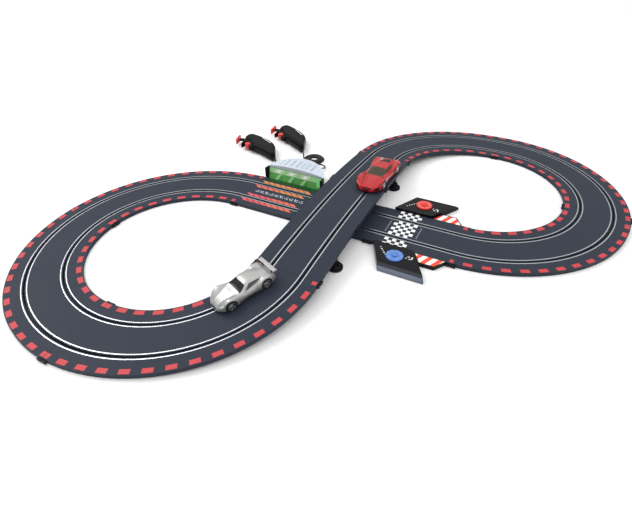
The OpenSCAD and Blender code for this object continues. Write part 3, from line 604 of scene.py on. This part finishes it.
def dress_battery_box():
    finish_nodes(BLACK, ["battery_box_base"])
    finish_nodes(GREEN_DARK, ["battery_box_front"])
    finish_nodes(LID, ["battery_lid"])
    finish_nodes(CELL, ["battery_cells"])
    finish_nodes(NICKEL, ["battery_contacts"])

    def on_front(s, share, lift=0.00012):
        """A point of the sloping green front, share of its height up."""
        return on_lower(BOX_S + s, 0.0586 + 0.0089 * share - lift, 0.0019 + 0.0279 * share)

    def front_patch(s0, s1, low, high, slant=0.0, lift=0.00012):
        corners = [(s0, low), (s1, low), (s1 + slant, high), (s0 + slant, high)]
        return [on_front(along, share, lift) for along, share in corners], [(0, 1, 2, 3)]

    def front_panes_and_painted_light(name, material, patches):
        lay_print_and_painted_light(name, patches, material, slot="green_clear")

    # painted light on the gloss green front: a pale painted reflection band, painted reflection streaks, painted
    # halos, white painted highlights and a painted glow on the right end
    front_panes_and_painted_light("front_pale_band", GREEN_PAINTED_REFLECTION, [front_patch(-0.0625, 0.0625, 0.62, 0.98)])
    front_panes_and_painted_light("front_panes", GREEN_MID, [front_patch(-0.060 + 0.0305 * i, -0.0345 + 0.0305 * i, 0.1, 0.6)
                                           for i in range(4)])
    front_panes_and_painted_light("front_streaks", GREEN_PAINTED_REFLECTION, [front_patch(s, s + 0.007, 0.16, 0.6, 0.009, 0.0002)
                                              for s in (-0.047, -0.016, 0.014)])
    front_panes_and_painted_light("front_mist", GREEN_PAINTED_HALO, [front_patch(s, s + 0.02, 0.64, 0.95, 0.006, 0.0002)
                                           for s in (-0.052, -0.02, 0.012)])
    front_panes_and_painted_light("front_highlights", WHITE_PRINT_AND_HIGHLIGHT, [front_patch(s, s + 0.007, 0.7, 0.88, 0.005, 0.0003)
                                                  for s in (-0.045, -0.013, 0.019)])
    front_panes_and_painted_light("front_end_glow", GREEN_PAINTED_EDGE_GLOW, [front_patch(0.053, 0.0622, 0.3, 0.96, 0.0, 0.00025)])
    shade = [patch_of_print_and_shade(on_lower, -0.205 + 0.0149 * i, -0.1905 + 0.0149 * i, 0.0478 - 0.0003 * i, 0.0572)
             for i in range(8)]
    lay_print_and_painted_light("front_shade_on_deck", shade, GREEN_SHADE)

    def roof_height(s):
        return LID_TOP - s * s / (2 * ROOF_R)

    # grooves of the ribbed roof
    for i in range(-3, 4):
        s = 0.0125 * i - 0.004
        top = roof_height(s)
        rib = block((BOX_S + s - 0.0009, 0.0765, top - 0.001), (BOX_S + s + 0.0009, 0.104 - abs(i) * 0.0016,
                                                                top + 0.0005))
        obj = piece("lid_rib_%d" % (i + 3), *rib, LID_GREEN, "battery_cover", "lid_grey", at=LOWER)
        bevel(obj, 0.0004)
    # raised border along the roof's straight edge
    steps = 24
    verts, faces = [], []
    for k in range(steps + 1):
        s = -0.062 + 0.124 * k / steps
        top = roof_height(s) + 0.0001
        for n, z in ((0.0677, top), (0.0677, top + 0.0007), (0.0697, top + 0.0007), (0.0697, top)):
            verts.append(Vector((BOX_S + s, n, z)))
    for k in range(steps):
        for q in range(3):
            a = 4 * k + q
            faces.append((a, a + 1, a + 5, a + 4))
    piece("lid_border", verts, faces, LID, "battery_cover", "lid_grey", smooth=30, at=LOWER)


# ---- Controllers ----
GRIP_T = 0.024
GRIP_BODY = [(-5, 1), (4, 1), (9, 25), (16, 52), (12, 74), (4, 93), (-9, 117), (-22, 135), (-34, 134),
             (-46, 124), (-46, 108), (-41, 98), (-40, 80), (-38, 68), (-31, 56), (-22, 37), (-12, 16)]
GRIP_BEAK = [(-42, 122), (-50, 110), (-61, 91), (-50, 99), (-40, 99)]
GRIP_GUARD = [(-36, 80), (-43, 78), (-46, 72), (-40, 64), (-32, 66)]
CONTROLLERS = {"left": (-0.073, 0.266, 0.0), "right": (0.002, 0.287, -9.6)}


def to_metres(outline):
    return [(a * MM, b * MM) for a, b in outline]


def rounded_slab(outline, thick, edge):
    """A slab on z = 0 with this outline and a wide round along its edges."""
    for _ in range(2):
        ends = outline[1:] + outline[:1]
        outline = [p for (ax, ay), (bx, by) in zip(outline, ends)
                   for p in ((0.75 * ax + 0.25 * bx, 0.75 * ay + 0.25 * by),
                             (0.25 * ax + 0.75 * bx, 0.25 * ay + 0.75 * by))]
    data = bpy.data.curves.new("slab", "CURVE")
    data.dimensions = "2D"
    data.fill_mode = "BOTH"
    data.extrude = thick / 2 - edge
    data.bevel_depth = edge
    data.bevel_resolution = 5
    data.offset = -edge
    spline = data.splines.new("POLY")
    spline.points.add(len(outline) - 1)
    for point, (x, y) in zip(spline.points, outline):
        point.co = (x, y, 0, 1)
    spline.use_cyclic_u = True
    mesh = take_mesh(link("slab", data))
    verts = [v.co + Vector((0, 0, thick / 2)) for v in mesh.vertices]
    return verts, [tuple(f.vertices) for f in mesh.polygons]


def softened(verts, faces, voxel, rounds):
    """The shapes joined into one mesh with every edge rounded off."""
    obj = link("soft", mesh_of("soft", verts, faces))
    remesh = obj.modifiers.new("remesh", "REMESH")
    remesh.mode = "VOXEL"
    remesh.voxel_size = voxel
    smooth = obj.modifiers.new("smooth", "SMOOTH")
    smooth.factor = 0.5
    smooth.iterations = rounds
    return take_mesh(obj)


def half_of(mesh, z, keep_above):
    """The part of a mesh above or below a level, closed at the cut."""
    work = bmesh.new()
    work.from_mesh(mesh)
    everything = work.verts[:] + work.edges[:] + work.faces[:]
    cut = bmesh.ops.bisect_plane(work, geom=everything, plane_co=(0, 0, z), plane_no=(0, 0, 1),
                                 clear_inner=keep_above, clear_outer=not keep_above)
    edges = [g for g in cut["geom_cut"] if isinstance(g, bmesh.types.BMEdge)]
    bmesh.ops.holes_fill(work, edges=edges)
    result = bpy.data.meshes.new("half")
    work.to_mesh(result)
    work.free()
    return result


def dress_spring(side, push):
    """The plunger's return spring, from the casing's wall to the plunger's inner end."""
    coils, per_turn, around = 5, 24, 8
    wire, mean = 0.00033, 0.0024
    back, front, ease = -0.0226, -0.0098, 0.002
    steps = coils * per_turn
    verts, faces = [], []
    for i in range(steps + 1):
        turn = 2 * math.pi * i / per_turn
        along = back + (front - back) * i / steps
        for k in range(around):
            ring = 2 * math.pi * k / around
            radius = mean + wire * math.cos(ring)
            at = Vector((along + wire * math.sin(ring), radius * math.cos(turn), radius * math.sin(turn)))
            verts.append(push @ at)
    for i in range(steps):
        for k in range(around):
            a, b = i * around + k, i * around + (k + 1) % around
            faces.append((a, a + around, b + around, b))
    faces.append(tuple(range(around)))
    faces.append(tuple(steps * around + k for k in reversed(range(around))))
    mesh = mesh_of(side + "_return_spring", verts, faces)
    mesh.materials.append(NICKEL)
    for face in mesh.polygons:
        face.use_smooth = True
    spring = link(side + "_return_spring", mesh)
    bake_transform(spring)
    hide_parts(side + "_plunger_spring")


def dress_controller(side, x, y, turn):
    at = Matrix.Translation((x, y, 0)) @ Matrix.Rotation(math.radians(turn), 4, "Z")
    whole = softened(*join_shapes([
        rounded_slab(to_metres(GRIP_BODY), GRIP_T, 0.0095),
        prism(to_metres(GRIP_BEAK), 0.0055, GRIP_T - 0.0055),
        prism(to_metres(GRIP_GUARD), 0.0065, GRIP_T - 0.0065),
    ]), 0.001, 5)
    top = BVHTree.FromPolygons([v.co for v in whole.vertices], [tuple(f.vertices) for f in whole.polygons])
    for label, half, seam in (("upper", True, 0.0002), ("lower", False, -0.0002)):
        add_mesh(side + "_grip_" + label, half_of(whole, GRIP_T / 2 + seam, half), SATIN_BLACK, "track",
                 at, [side + "_casing_" + label])

    # ribs round the head's back
    for i in range(6):
        share = i / 5
        foot = Vector((0.0010 - 0.0195 * share, 0.096 + 0.033 * share, GRIP_T / 2))
        lean = Matrix.Translation(foot) @ Matrix.Rotation(math.radians(32 - 4 * share), 4, "Z")
        arc = [(0.0026 * math.cos(a) - 0.0012, 0.0088 * math.sin(a)) for a in
               (math.pi * (k / 12 - 0.5) for k in range(13))]
        rib = prism(arc + [(-0.005, 0.0088), (-0.005, -0.0088)], -0.0008, 0.0008)
        stand = Matrix.Rotation(math.pi / 2, 4, "X")
        obj = piece("%s_head_rib_%d" % (side, i), *moved(rib, stand), SATIN_BLACK, "track", "grip_black",
                    at=at @ lean, smooth=30)
        bevel(obj, 0.0004, 2)

    # pale label bars along the grip
    bars = []
    for i in range(5):
        x0, y0 = 0.0055 - 0.0024 * i, 0.058 + 0.0075 * i
        corners = []
        for k in range(5):
            for across in (-0.0016, 0.0016):
                x, y = x0 - 0.0014 * k / 4 + across, y0 + 0.0048 * k / 4
                hit = top.ray_cast(Vector((x, y, 0.1)), Vector((0, 0, -1)))[0]
                corners.append(hit + Vector((0, 0, 0.00012)))
        bars.append((corners, [(2 * k, 2 * k + 1, 2 * k + 3, 2 * k + 2) for k in range(4)]))
    piece(side + "_label_bars", *join_shapes(bars), WHITE_PRINT_AND_HIGHLIGHT, "track", "grip_black", at=at)

    # the screw caps of the casing
    for i, (px, py) in enumerate(((-0.001, 0.022), (-0.010, 0.068), (-0.027, 0.118))):
        cap = lathe([(0.0, -0.0003), (0.0021, -0.0003), (0.0021, 0.0), (0.0014, 0.0002), (0.0, 0.0002)], 24)
        height = top.ray_cast(Vector((px, py, 0.1)), Vector((0, 0, -1)))[0].z - 0.0001
        cap = moved(cap, Matrix.Translation((px, py, height)))
        piece("%s_casing_cap_%d" % (side, i), *cap, BLACK, "track", "grip_black", smooth=30, at=at)

    # plunger: a black shaft with a red bar across its end
    push = at @ Matrix.Translation((-0.047, 0.123, GRIP_T / 2)) @ Matrix.Rotation(math.radians(152), 4, "Z")
    shaft = piece(side + "_plunger_shaft", *block((-0.009, -0.003, -0.003), (0.0145, 0.003, 0.003)), BLACK,
                  side + "_thumb_plunger", "grip_black", at=push, replaces=[side + "_plunger"])
    bevel(shaft, 0.0008, 3)
    bar = softened(*prism([(0.0136, -0.0148), (0.0178, -0.0148), (0.0185, -0.005), (0.0185, 0.005),
                           (0.0178, 0.0148), (0.0136, 0.0148)], -0.006, 0.006), 0.0007, 5)
    add_mesh(side + "_plunger_bar", bar, TRIGGER_RED, side + "_thumb_plunger", push)
    collar = piece(side + "_plunger_collar", *block((0.0112, -0.0045, -0.0042), (0.0140, 0.0045, 0.0042)),
                   TRIGGER_RED, side + "_thumb_plunger", "trigger_red", at=push)
    bevel(collar, 0.0006, 3)

    # turbo button: a round-nosed red key
    nose = [(-0.0450 + 0.0070 * math.cos(a), 0.0885 + 0.0073 * math.sin(a))
            for a in (math.pi / 2 + math.pi * k / 16 for k in range(17))]
    key = prism([(-0.0382, 0.0958)] + nose + [(-0.0382, 0.0812)], GRIP_T / 2 - 0.0058, GRIP_T / 2 + 0.0058)
    obj = piece(side + "_turbo_key", *key, TRIGGER_RED, side + "_turbo", "trigger_red", at=at, smooth=30,
                replaces=[side + "_turbo_button"])
    bevel(obj, 0.0012, 3, 50)
    dress_spring(side, push)
    finish_nodes(BLACK, [side + "_plug"])


# ---- Cars, each in its own frame in millimetres: x forwards, y to its left, z up from the deck ----
# Each form gives smooth curves along the car: half width, roof edge, cabin base, and heights
SILVER_FORM = {
    "half": [(-50, 17), (-44, 20.5), (-31, 22.4), (-10, 21.0), (8, 20.5), (30, 22.3), (41, 19.5), (47.5, 14),
             (51, 7)],
    "roof_edge": [(-50, 6), (-36, 9), (-22, 11.5), (-8, 12), (0, 12), (12, 12.5), (30, 9), (51, 3)],
    "cabin": [(-50, 12), (-40, 12.6), (-31, 13), (-20, 15.5), (-4, 17), (8, 17), (18, 15), (31, 12.9),
              (40, 11), (51, 5)],
    "top": [(-50, 14.5), (-44, 17.5), (-33, 20.6), (-20, 23.8), (-9, 25), (-1, 24.2), (11, 18.4), (24, 17.2),
            (36, 15.2), (45, 11.6), (49, 8.5), (51, 6.5)],
    "roof_side": [(-50, 14.2), (-44, 17.2), (-33, 19.8), (-20, 22.6), (-9, 23.9), (-1, 23.1), (11, 18),
                  (24, 16.9), (36, 14.8), (45, 11.2), (49, 8.2), (51, 6.2)],
    "base": [(-50, 13.5), (-42, 18), (-31, 19.6), (-20, 17.4), (-8, 16.4), (6, 16.4), (18, 17.6), (31, 19.2),
             (40, 15.6), (46, 10.6), (49, 8), (51, 6)],
    "shoulder": [(-50, 13), (-43, 18), (-31, 20.1), (-20, 17.8), (-6, 15), (10, 15.4), (21, 18.2),
                 (31, 19.9), (40, 16.2), (47, 10.5), (51, 6)],
}
RED_FORM = {
    "half": [(-67, 21), (-58, 26.5), (-41, 27.9), (-14, 25.6), (6, 25.2), (41, 27.8), (54, 25.5), (64, 19),
             (68.5, 10)],
    "roof_edge": [(-67, 9), (-48, 10), (-30, 12.5), (-12, 13.5), (2, 13.5), (24, 13.5),
                  (46, 10), (68.5, 4.5)],
    "cabin": [(-67, 16), (-54, 15.5), (-41, 17.5), (-20, 20), (0, 20.5), (20, 19.5), (32, 18), (41, 17.6),
              (52, 14), (68.5, 8)],
    "top": [(-67, 16), (-58, 20), (-44, 22.8), (-26, 25.2), (-8, 25.8), (4, 24), (22, 17.8), (36, 16.4),
            (50, 14.5), (62, 11.8), (67, 9.8), (68.5, 8.2)],
    "roof_side": [(-67, 15.6), (-58, 19.5), (-44, 21.8), (-26, 24.2), (-8, 24.7), (4, 23), (22, 17.2),
                  (36, 15.8), (50, 14), (62, 11.4), (67, 9.5), (68.5, 8)],
    "base": [(-67, 15.4), (-54, 19), (-41, 19.6), (-26, 18.4), (-8, 17.2), (12, 17), (28, 17.8), (41, 19.2),
             (52, 16), (62, 12), (67, 9.4), (68.5, 7.8)],
    "shoulder": [(-67, 14.8), (-54, 19), (-41, 20.4), (-28, 18.4), (-8, 15.6), (14, 16.2), (29, 18.6),
                 (41, 20), (53, 16.6), (62, 12), (67, 9), (68.5, 7.5)],
}


def across_car(form, x):
    """Half of the car's section at x, from the middle of the top out and down to the sill."""
    at = {key: smooth_between(keys, x) for key, keys in form.items()}
    half, low = at["half"], 3.6
    return [(0, at["top"]), (at["roof_edge"], at["roof_side"]), (at["cabin"], at["base"]),
            (half - 2.4, at["shoulder"]), (half - 0.3, low + (at["shoulder"] - low) * 0.72),
            (half, low + (at["shoulder"] - low) * 0.35), (half - 1.2, low)]


def skin(form, x, v):
    """A point of the car's skin: v runs from -6 at the right sill through 0 at the top to 6 at the left."""
    points = across_car(form, x)
    t = min(abs(v), 5.9999)
    i, f = int(t), t - int(t)
    mirrored = (-points[1][0], points[1][1])
    p0 = points[i - 1] if i > 0 else mirrored
    p1, p2 = points[i], points[i + 1]
    p3 = points[min(i + 2, 6)]
    y, z = (0.5 * ((2 * b) + (c - a) * f + (2 * a - 5 * b + 4 * c - d) * f * f
                   + (3 * b - a - 3 * c + d) * f**3) for a, b, c, d in zip(p0, p1, p2, p3))
    return Vector((x, y if v >= 0 else -y, z)) * MM


def car_shell(form, x_steps=64, v_steps=8):
    """The closed outer form of a car."""
    x0, x1 = form["half"][0][0], form["half"][-1][0]
    rows = [x0 + (x1 - x0) * (0.5 - 0.5 * math.cos(math.pi * i / x_steps)) for i in range(x_steps + 1)]
    places = [k / v_steps for k in range(-6 * v_steps, 6 * v_steps + 1)]
    verts = [skin(form, x, v) for x in rows for v in places]
    n = len(places)
    faces = []
    for i in range(x_steps):
        for k in range(n - 1):
            a = i * n + k
            faces.append((a, a + 1, a + n + 1, a + n))
        faces.append((i * n, (i + 1) * n, (i + 1) * n + n - 1, i * n + n - 1))
    faces.append(tuple(range(n)))
    faces.append(tuple(range(x_steps * n, (x_steps + 1) * n)))
    return verts, faces


def skin_patch(form, corners, lift=0.2, along=14, across=10):
    """A panel on the skin between four (x, v) corners, standing a little proud and closed below."""
    (xa, va), (xb, vb), (xc, vc), (xd, vd) = corners
    top = []
    for i in range(along + 1):
        f = i / along
        for k in range(across + 1):
            g = k / across
            x = (xa * (1 - f) + xb * f) * (1 - g) + (xd * (1 - f) + xc * f) * g
            v = (va * (1 - f) + vb * f) * (1 - g) + (vd * (1 - f) + vc * f) * g
            here = skin(form, x, v)
            out = (skin(form, x + 0.3, v) - here).cross(skin(form, x, v + 0.03) - here).normalized()
            if v < 0 and out.y * here.y < 0 or out.z < -0.3:
                out.negate()
            top.append((here, out))
    verts = [p + o * lift * MM for p, o in top] + [p - o * 0.5 * MM for p, o in top]
    n, w = len(top), across + 1
    faces = []
    for i in range(along):
        for k in range(across):
            a = i * w + k
            faces.append((a, a + 1, a + w + 1, a + w))
            faces.append((n + a, n + a + w, n + a + w + 1, n + a + 1))
    rim = ([k for k in range(w)] + [i * w + across for i in range(1, along + 1)]
           + [along * w + k for k in range(across - 1, -1, -1)] + [i * w for i in range(along - 1, 0, -1)])
    for a, b in zip(rim, rim[1:] + rim[:1]):
        faces.append((a, b, n + b, n + a))
    return verts, faces


WHEEL_R, WHEEL_W = 9.0, 7.0  # the axles' height above the deck is the wheels' radius
ARCH_GAP, ARCH_DEPTH = 0.7, 7.3


def lying(x, y, side):
    """Lays an upright shape in millimetres along an axle, facing the car's left (1) or right (-1)."""
    return (Matrix.Translation(Vector((x, y, WHEEL_R)) * MM) @ Matrix.Rotation(-side * math.pi / 2, 4, "X")
            @ Matrix.Scale(MM, 4))


def cut_arches(obj, base, half):
    """Wheel arches cut into a car's shell, and blackened inside."""
    cutters = []
    for x in (-base / 2, base / 2):
        for side in (1, -1):
            drum = lathe([(WHEEL_R + ARCH_GAP, -ARCH_DEPTH), (WHEEL_R + ARCH_GAP, 12)], 48)
            cutters.append(moved(drum, lying(x, side * (half - 1), side)))
    cutter = link("arches", mesh_of("arches", *join_shapes(cutters)))
    modifier = obj.modifiers.new("arches", "BOOLEAN")
    modifier.object = cutter
    modifier.operation = "DIFFERENCE"
    modifier.solver = "EXACT"
    result = take_mesh(obj)
    bpy.data.objects.remove(cutter)
    result.materials.append(BLACK)
    for face in result.polygons:
        c = face.center / MM
        for x in (-base / 2, base / 2):
            near = math.hypot(c.x - x, c.z - WHEEL_R) < WHEEL_R + ARCH_GAP + 0.02
            if near and half - 1.05 - ARCH_DEPTH < abs(c.y) < half - 0.05:
                face.material_index = 1
    return result


def wheel(name, body, x, y, side, at, replaces):
    """Tyre with grooves, and a rim of five split spokes that faces the car's own side."""
    face = lying(x, y, side)
    w, r = WHEEL_W / 2, WHEEL_R - 0.1
    tread = [(r - 2.6, -w), (r - 0.5, -w), (r, -w + 0.6)]
    for k in (-1.6, 0.0, 1.6):
        tread += [(r, k - 0.3), (r - 0.35, k - 0.2), (r - 0.35, k + 0.2), (r, k + 0.3)]
    tread += [(r, w - 0.6), (r - 0.5, w), (r - 2.2, w), (r - 2.6, w - 0.3), (r - 2.6, w - 1.6),
              (0.9, w - 1.8)]
    tyre = moved(lathe(tread, 64), face)
    piece(name + "_tyre", *tyre, TYRE, body, "wheel_rubber", smooth=40, at=at, replaces=replaces)
    rim = [lathe([(r - 2.55, w - 1.7), (r - 2.55, w - 0.1), (r - 2.95, w - 0.1),
                  (r - 3.1, w - 0.9), (r - 3.1, w - 1.7)], 48),
           lathe([(0.0, w - 1.8), (1.4, w - 1.8), (1.4, w - 0.6), (0.9, w - 0.3), (0.0, w - 0.3)], 32)]
    for k in range(5):
        for lean in (-9, 9):
            spoke = prism([(0.8, -0.32), (r - 2.8, -0.26), (r - 2.8, 0.26), (0.8, 0.32)], w - 1.4, w - 0.5)
            rim.append(moved(spoke, Matrix.Rotation(math.radians(72 * k + lean), 4, "Z")))
    piece(name + "_rim", *moved(join_shapes(rim), face), RIM, body, "wheel_rubber", smooth=30, at=at)


def dress_car(name, form, base, half, at, paint):
    """A car's shell, wheels, axles and running gear; base is its wheelbase and half its half width."""
    plain = mesh_of("shell", *car_shell(form))
    plain.materials.append(paint)
    mesh = cut_arches(link("shell", plain), base, half)
    mesh.transform(at)
    mesh.name = name + "_shell"
    obj = link(name + "_shell", mesh)
    round_off(obj, 42)
    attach(obj, name + "_car")
    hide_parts(name + "_body", name + "_windows")
    for end, x in ((name + "_front", base / 2), (name + "_rear", -base / 2)):
        for side, label in ((1, "left"), (-1, "right")):
            wheel(end + "_" + label, end + "_axle", x, side * (half - 1 - WHEEL_W / 2), side, at,
                  [end + "_wheels"] if side > 0 else ())
        rod = moved(lathe([(1.0, -(half - 8)), (1.0, half - 8)], 24), lying(x, 0, -1))
        piece(end + "_rod", *rod, NICKEL, end + "_axle", "wheel_rubber", smooth=30, at=at)
    crown_gear(name, base, at)
    finish_nodes(BLACK, [name + "_chassis", name + "_guide"])
    finish_nodes(BRASS, [name + "_pinion"])
    finish_nodes(CAN, [name + "_motor"])


def crown_gear(name, base, at):
    """The crown gear on the rear axle, with 31 face teeth."""
    shapes = [lathe([(0.9, 0), (6.2, 0), (6.2, 0.9), (0.9, 0.9)], 48)]
    for k in range(31):
        tooth = block((4.9, -0.22, 0.85), (6.15, 0.22, 1.5))
        shapes.append(moved(tooth, Matrix.Rotation(2 * math.pi * k / 31, 4, "Z")))
    gear = moved(join_shapes(shapes), lying(-base / 2, 3.2, 1))
    piece(name + "_crown_gear", *gear, BRASS, name + "_rear_axle", "brass_gear", at=at)


def panels(name, form, at, parts, slot):
    """Panels on a car's skin: (label, material, corners, both sides, lift)."""
    for label, material, corners, twice, lift in parts:
        for sign, side in ((1, "left"), (-1, "right")) if twice else ((1, "middle"),):
            patch = skin_patch(form, [(x, v * sign) for x, v in corners], lift)
            piece("%s_%s_%s" % (name, label, side), *patch, material, name + "_car", slot, smooth=35, at=at)


def strip(x0, v0, x1, v1, wide):
    """Corners of a narrow line on the skin, wide in x."""
    return [(x0, v0), (x1, v1), (x1 + wide, v1), (x0 + wide, v0)]


def dress_silver_car():
    place = Matrix.Translation((-0.224102, -0.168236, 0.02065))
    at = place @ Matrix.Rotation(math.radians(202.2), 4, "Z") @ Matrix.Rotation(math.radians(6.77), 4, "Y")
    dress_car("silver", SILVER_FORM, 62, 22.5, at, SILVER_PAINT)
    parts = [
        ("windscreen", SMOKED, [(0, -1.0), (12, -1.45), (12, 1.45), (0, 1.0)], False, 0.15),
        ("rear_window", CAN, [(-37, -0.8), (-24, -0.95), (-24, 0.95), (-37, 0.8)], False, 0.1),
        ("side_window", GLASS_GREY, [(3, 1.95), (-27, 1.85), (-22, 1.25), (-6, 1.15)], True, 0.12),
        ("door_front_line", BLACK, strip(4, 2.2, 2, 4.9, 0.3), True, 0.03),
        ("door_rear_line", BLACK, strip(-16, 2.2, -15, 4.9, 0.3), True, 0.03),
        ("sill_shade", BLACK, [(-20, 5.2), (20, 5.0), (20, 5.3), (-20, 5.55)], True, 0.04),
        ("side_groove", CAN, [(-18, 3.7), (20, 3.5), (20, 3.75), (-18, 4.0)], True, 0.04),
        ("bonnet_side_line", CAN, [(14, 1.75), (40, 1.7), (40, 1.76), (14, 1.83)], True, 0.03),
        ("bonnet_front_line", CAN, [(42.2, -2.2), (42.5, -2.2), (42.5, 2.2), (42.2, 2.2)], False, 0.03),
        ("headlamp", LAMP, [(40.5, 3.05), (44.8, 2.8), (45.8, 3.3), (42, 3.55)], True, 0.08),
        ("grille", BLACK, [(49.2, -2.6), (50.7, -2.6), (50.7, 2.6), (49.2, 2.6)], False, 0.08),
        ("tail_lamp", TRIGGER_RED, [(-49.2, 2.6), (-47.6, 2.6), (-47.6, 3.6), (-49.2, 3.6)], True, 0.1),
    ]
    panels("silver", SILVER_FORM, at, parts, "silver_paint")

    def wing_part(name, material, low, high, edge, segments):
        shape = block_mm(low, high)
        bevel(piece("silver_wing" + name, *shape, material, "silver_car", "silver_paint", at=at), edge, segments)

    wing_part("", SILVER_PAINT, (-53, -20, 21.6), (-46.5, 20, 22.6), 0.0005, 3)
    for side, label in ((1, "left"), (-1, "right")):
        end, post = 19.4 * side, 11.5 * side
        wing_part("_end_" + label, SILVER_PAINT, (-53.4, end - 0.5, 19.6), (-46, end + 0.5, 23.2), 0.0004, 3)
        wing_part("_post_" + label, BLACK, (-50.5, post - 0.6, 13), (-47, post + 0.6, 21.8), 0.0003, 2)


def dress_red_car():
    place = Matrix.Translation((0.094399, 0.054094, 0.039083))
    at = place @ Matrix.Rotation(math.radians(225), 4, "Z") @ Matrix.Rotation(math.radians(-2.54), 4, "Y")
    dress_car("red", RED_FORM, 82, 28, at, RED_PAINT)
    parts = [
        ("visor", OLIVE_SMOKED, [(1, -1.2), (24, -1.45), (24, 1.45), (1, 1.2)], False, 0.15),
        ("visor_side", OLIVE_SMOKED, [(23.5, 1.4), (-26, 2.0), (-26, 1.3), (1, 1.15)], True, 0.13),
        ("rear_window", SMOKED, [(-46, -0.8), (-28, -0.9), (-28, 0.9), (-46, 0.8)], False, 0.12),
        ("side_intake", BLACK, [(-16, 4.2), (-27, 3.5), (-28, 4.9), (-17, 5.2)], True, 0.06),
        ("door_front_line", BLACK, strip(12, 2.3, 9, 4.9, 0.35), True, 0.03),
        ("door_rear_line", BLACK, strip(-13, 2.5, -12, 4.9, 0.35), True, 0.03),
        ("bonnet_vent", BLACK, [(25, 1.75), (31, 1.95), (27, 2.35), (23, 2.1)], True, 0.05),
        ("corner_intake", BLACK, [(58.5, 3.7), (65, 3.2), (66.2, 5.3), (59, 5.5)], True, 0.1),
        ("grille", BLACK, [(66.4, -2.9), (68.3, -2.9), (68.3, 2.9), (66.4, 2.9)], False, 0.1),
        ("headlamp", DARK_LAMP, [(49.5, 3.0), (57, 2.7), (57.8, 3.05), (50.3, 3.4)], True, 0.08),
        # thin black lines of painted shade along bonnet creases that the shell does not model
        ("bonnet_crease", BLACK, [(30, 1.7), (60, 1.95), (60, 2.0), (30, 1.76)], True, 0.02),
        ("bonnet_inner_crease", BLACK, [(27, 0.75), (62, 0.9), (62, 0.94), (27, 0.8)], True, 0.02),
        ("tail_lamp", TRIGGER_RED, [(-66, 2.5), (-64, 2.5), (-64, 3.5), (-66, 3.5)], True, 0.1),
        ("engine_vents", BLACK, [(-60, -1.2), (-53, -1.2), (-53, 1.2), (-60, 1.2)], False, 0.06),
    ]
    panels("red", RED_FORM, at, parts, "red_paint")
    mouth = prism(to_metres([(68.3, -7.5), (68.75, -6), (68.75, 6), (68.3, 7.5)]), 4.2 * MM, 7.2 * MM)
    piece("red_mouth", *mouth, BLACK, "red_car", "red_paint", at=at)
    lip = [(55, -24), (63, -19), (68.6, -10), (68.9, 0), (68.6, 10), (63, 19), (55, 24)]
    splitter = prism(to_metres(lip), 3.0 * MM, 3.8 * MM)
    bevel(piece("red_splitter", *splitter, RED_PAINT, "red_car", "red_paint", at=at), 0.0003)


# ---- Stage ----
def make_stage():
    """A white floor, a graded studio world and two soft lamps."""
    reach = 28
    mesh = mesh_of("floor", [(x * reach, y * reach, 0) for x, y in ((-1, -1), (1, -1), (1, 1), (-1, 1))],
                   [(0, 1, 2, 3)])
    mesh.materials.append(FLOOR)
    link("floor", mesh)
    world = bpy.data.worlds.new("studio")
    bpy.context.scene.world = world
    world.use_nodes = True
    # a white ceiling over darker walls, so that the cars' sides have something to reflect
    tree = world.node_tree
    background = tree.nodes["Background"]
    where = add_node(tree, "TexCoord")
    height = add_node(tree, "SeparateXYZ")
    span = {"From Min": 0.05, "From Max": 0.75, "To Min": 0.30, "To Max": 1.25}
    fade = add_node(tree, "MapRange", span, interpolation_type="SMOOTHSTEP")
    tree.links.new(where.outputs["Generated"], height.inputs[0])
    tree.links.new(height.outputs["Z"], fade.inputs["Value"])
    tree.links.new(fade.outputs["Result"], background.inputs["Strength"])
    background.inputs["Color"].default_value = (1, 1, 1, 1)
    lamps = (("key", (-1.3, 1.2, 1.9), 1.1, 22), ("fill", (0.9, -1.8, 2.2), 2.4, 8))
    for name, place, size, power in lamps:
        data = bpy.data.lights.new(name, "AREA")
        data.size = size
        data.energy = power
        lamp = link(name, data)
        lamp.location = place
        lamp.rotation_mode = "QUATERNION"
        lamp.rotation_quaternion = (-Vector(place)).to_track_quat("-Z", "Y")
    bpy.context.scene.view_settings.view_transform = "Standard"


dress_track()
dress_connection()
dress_start()
dress_aprons()
dress_lap_counters()
dress_battery_box()
for side, (x, y, turn) in CONTROLLERS.items():
    dress_controller(side, x, y, turn)
finish_nodes(BLACK, ["strain_reliefs"])
dress_silver_car()
dress_red_car()
make_stage()
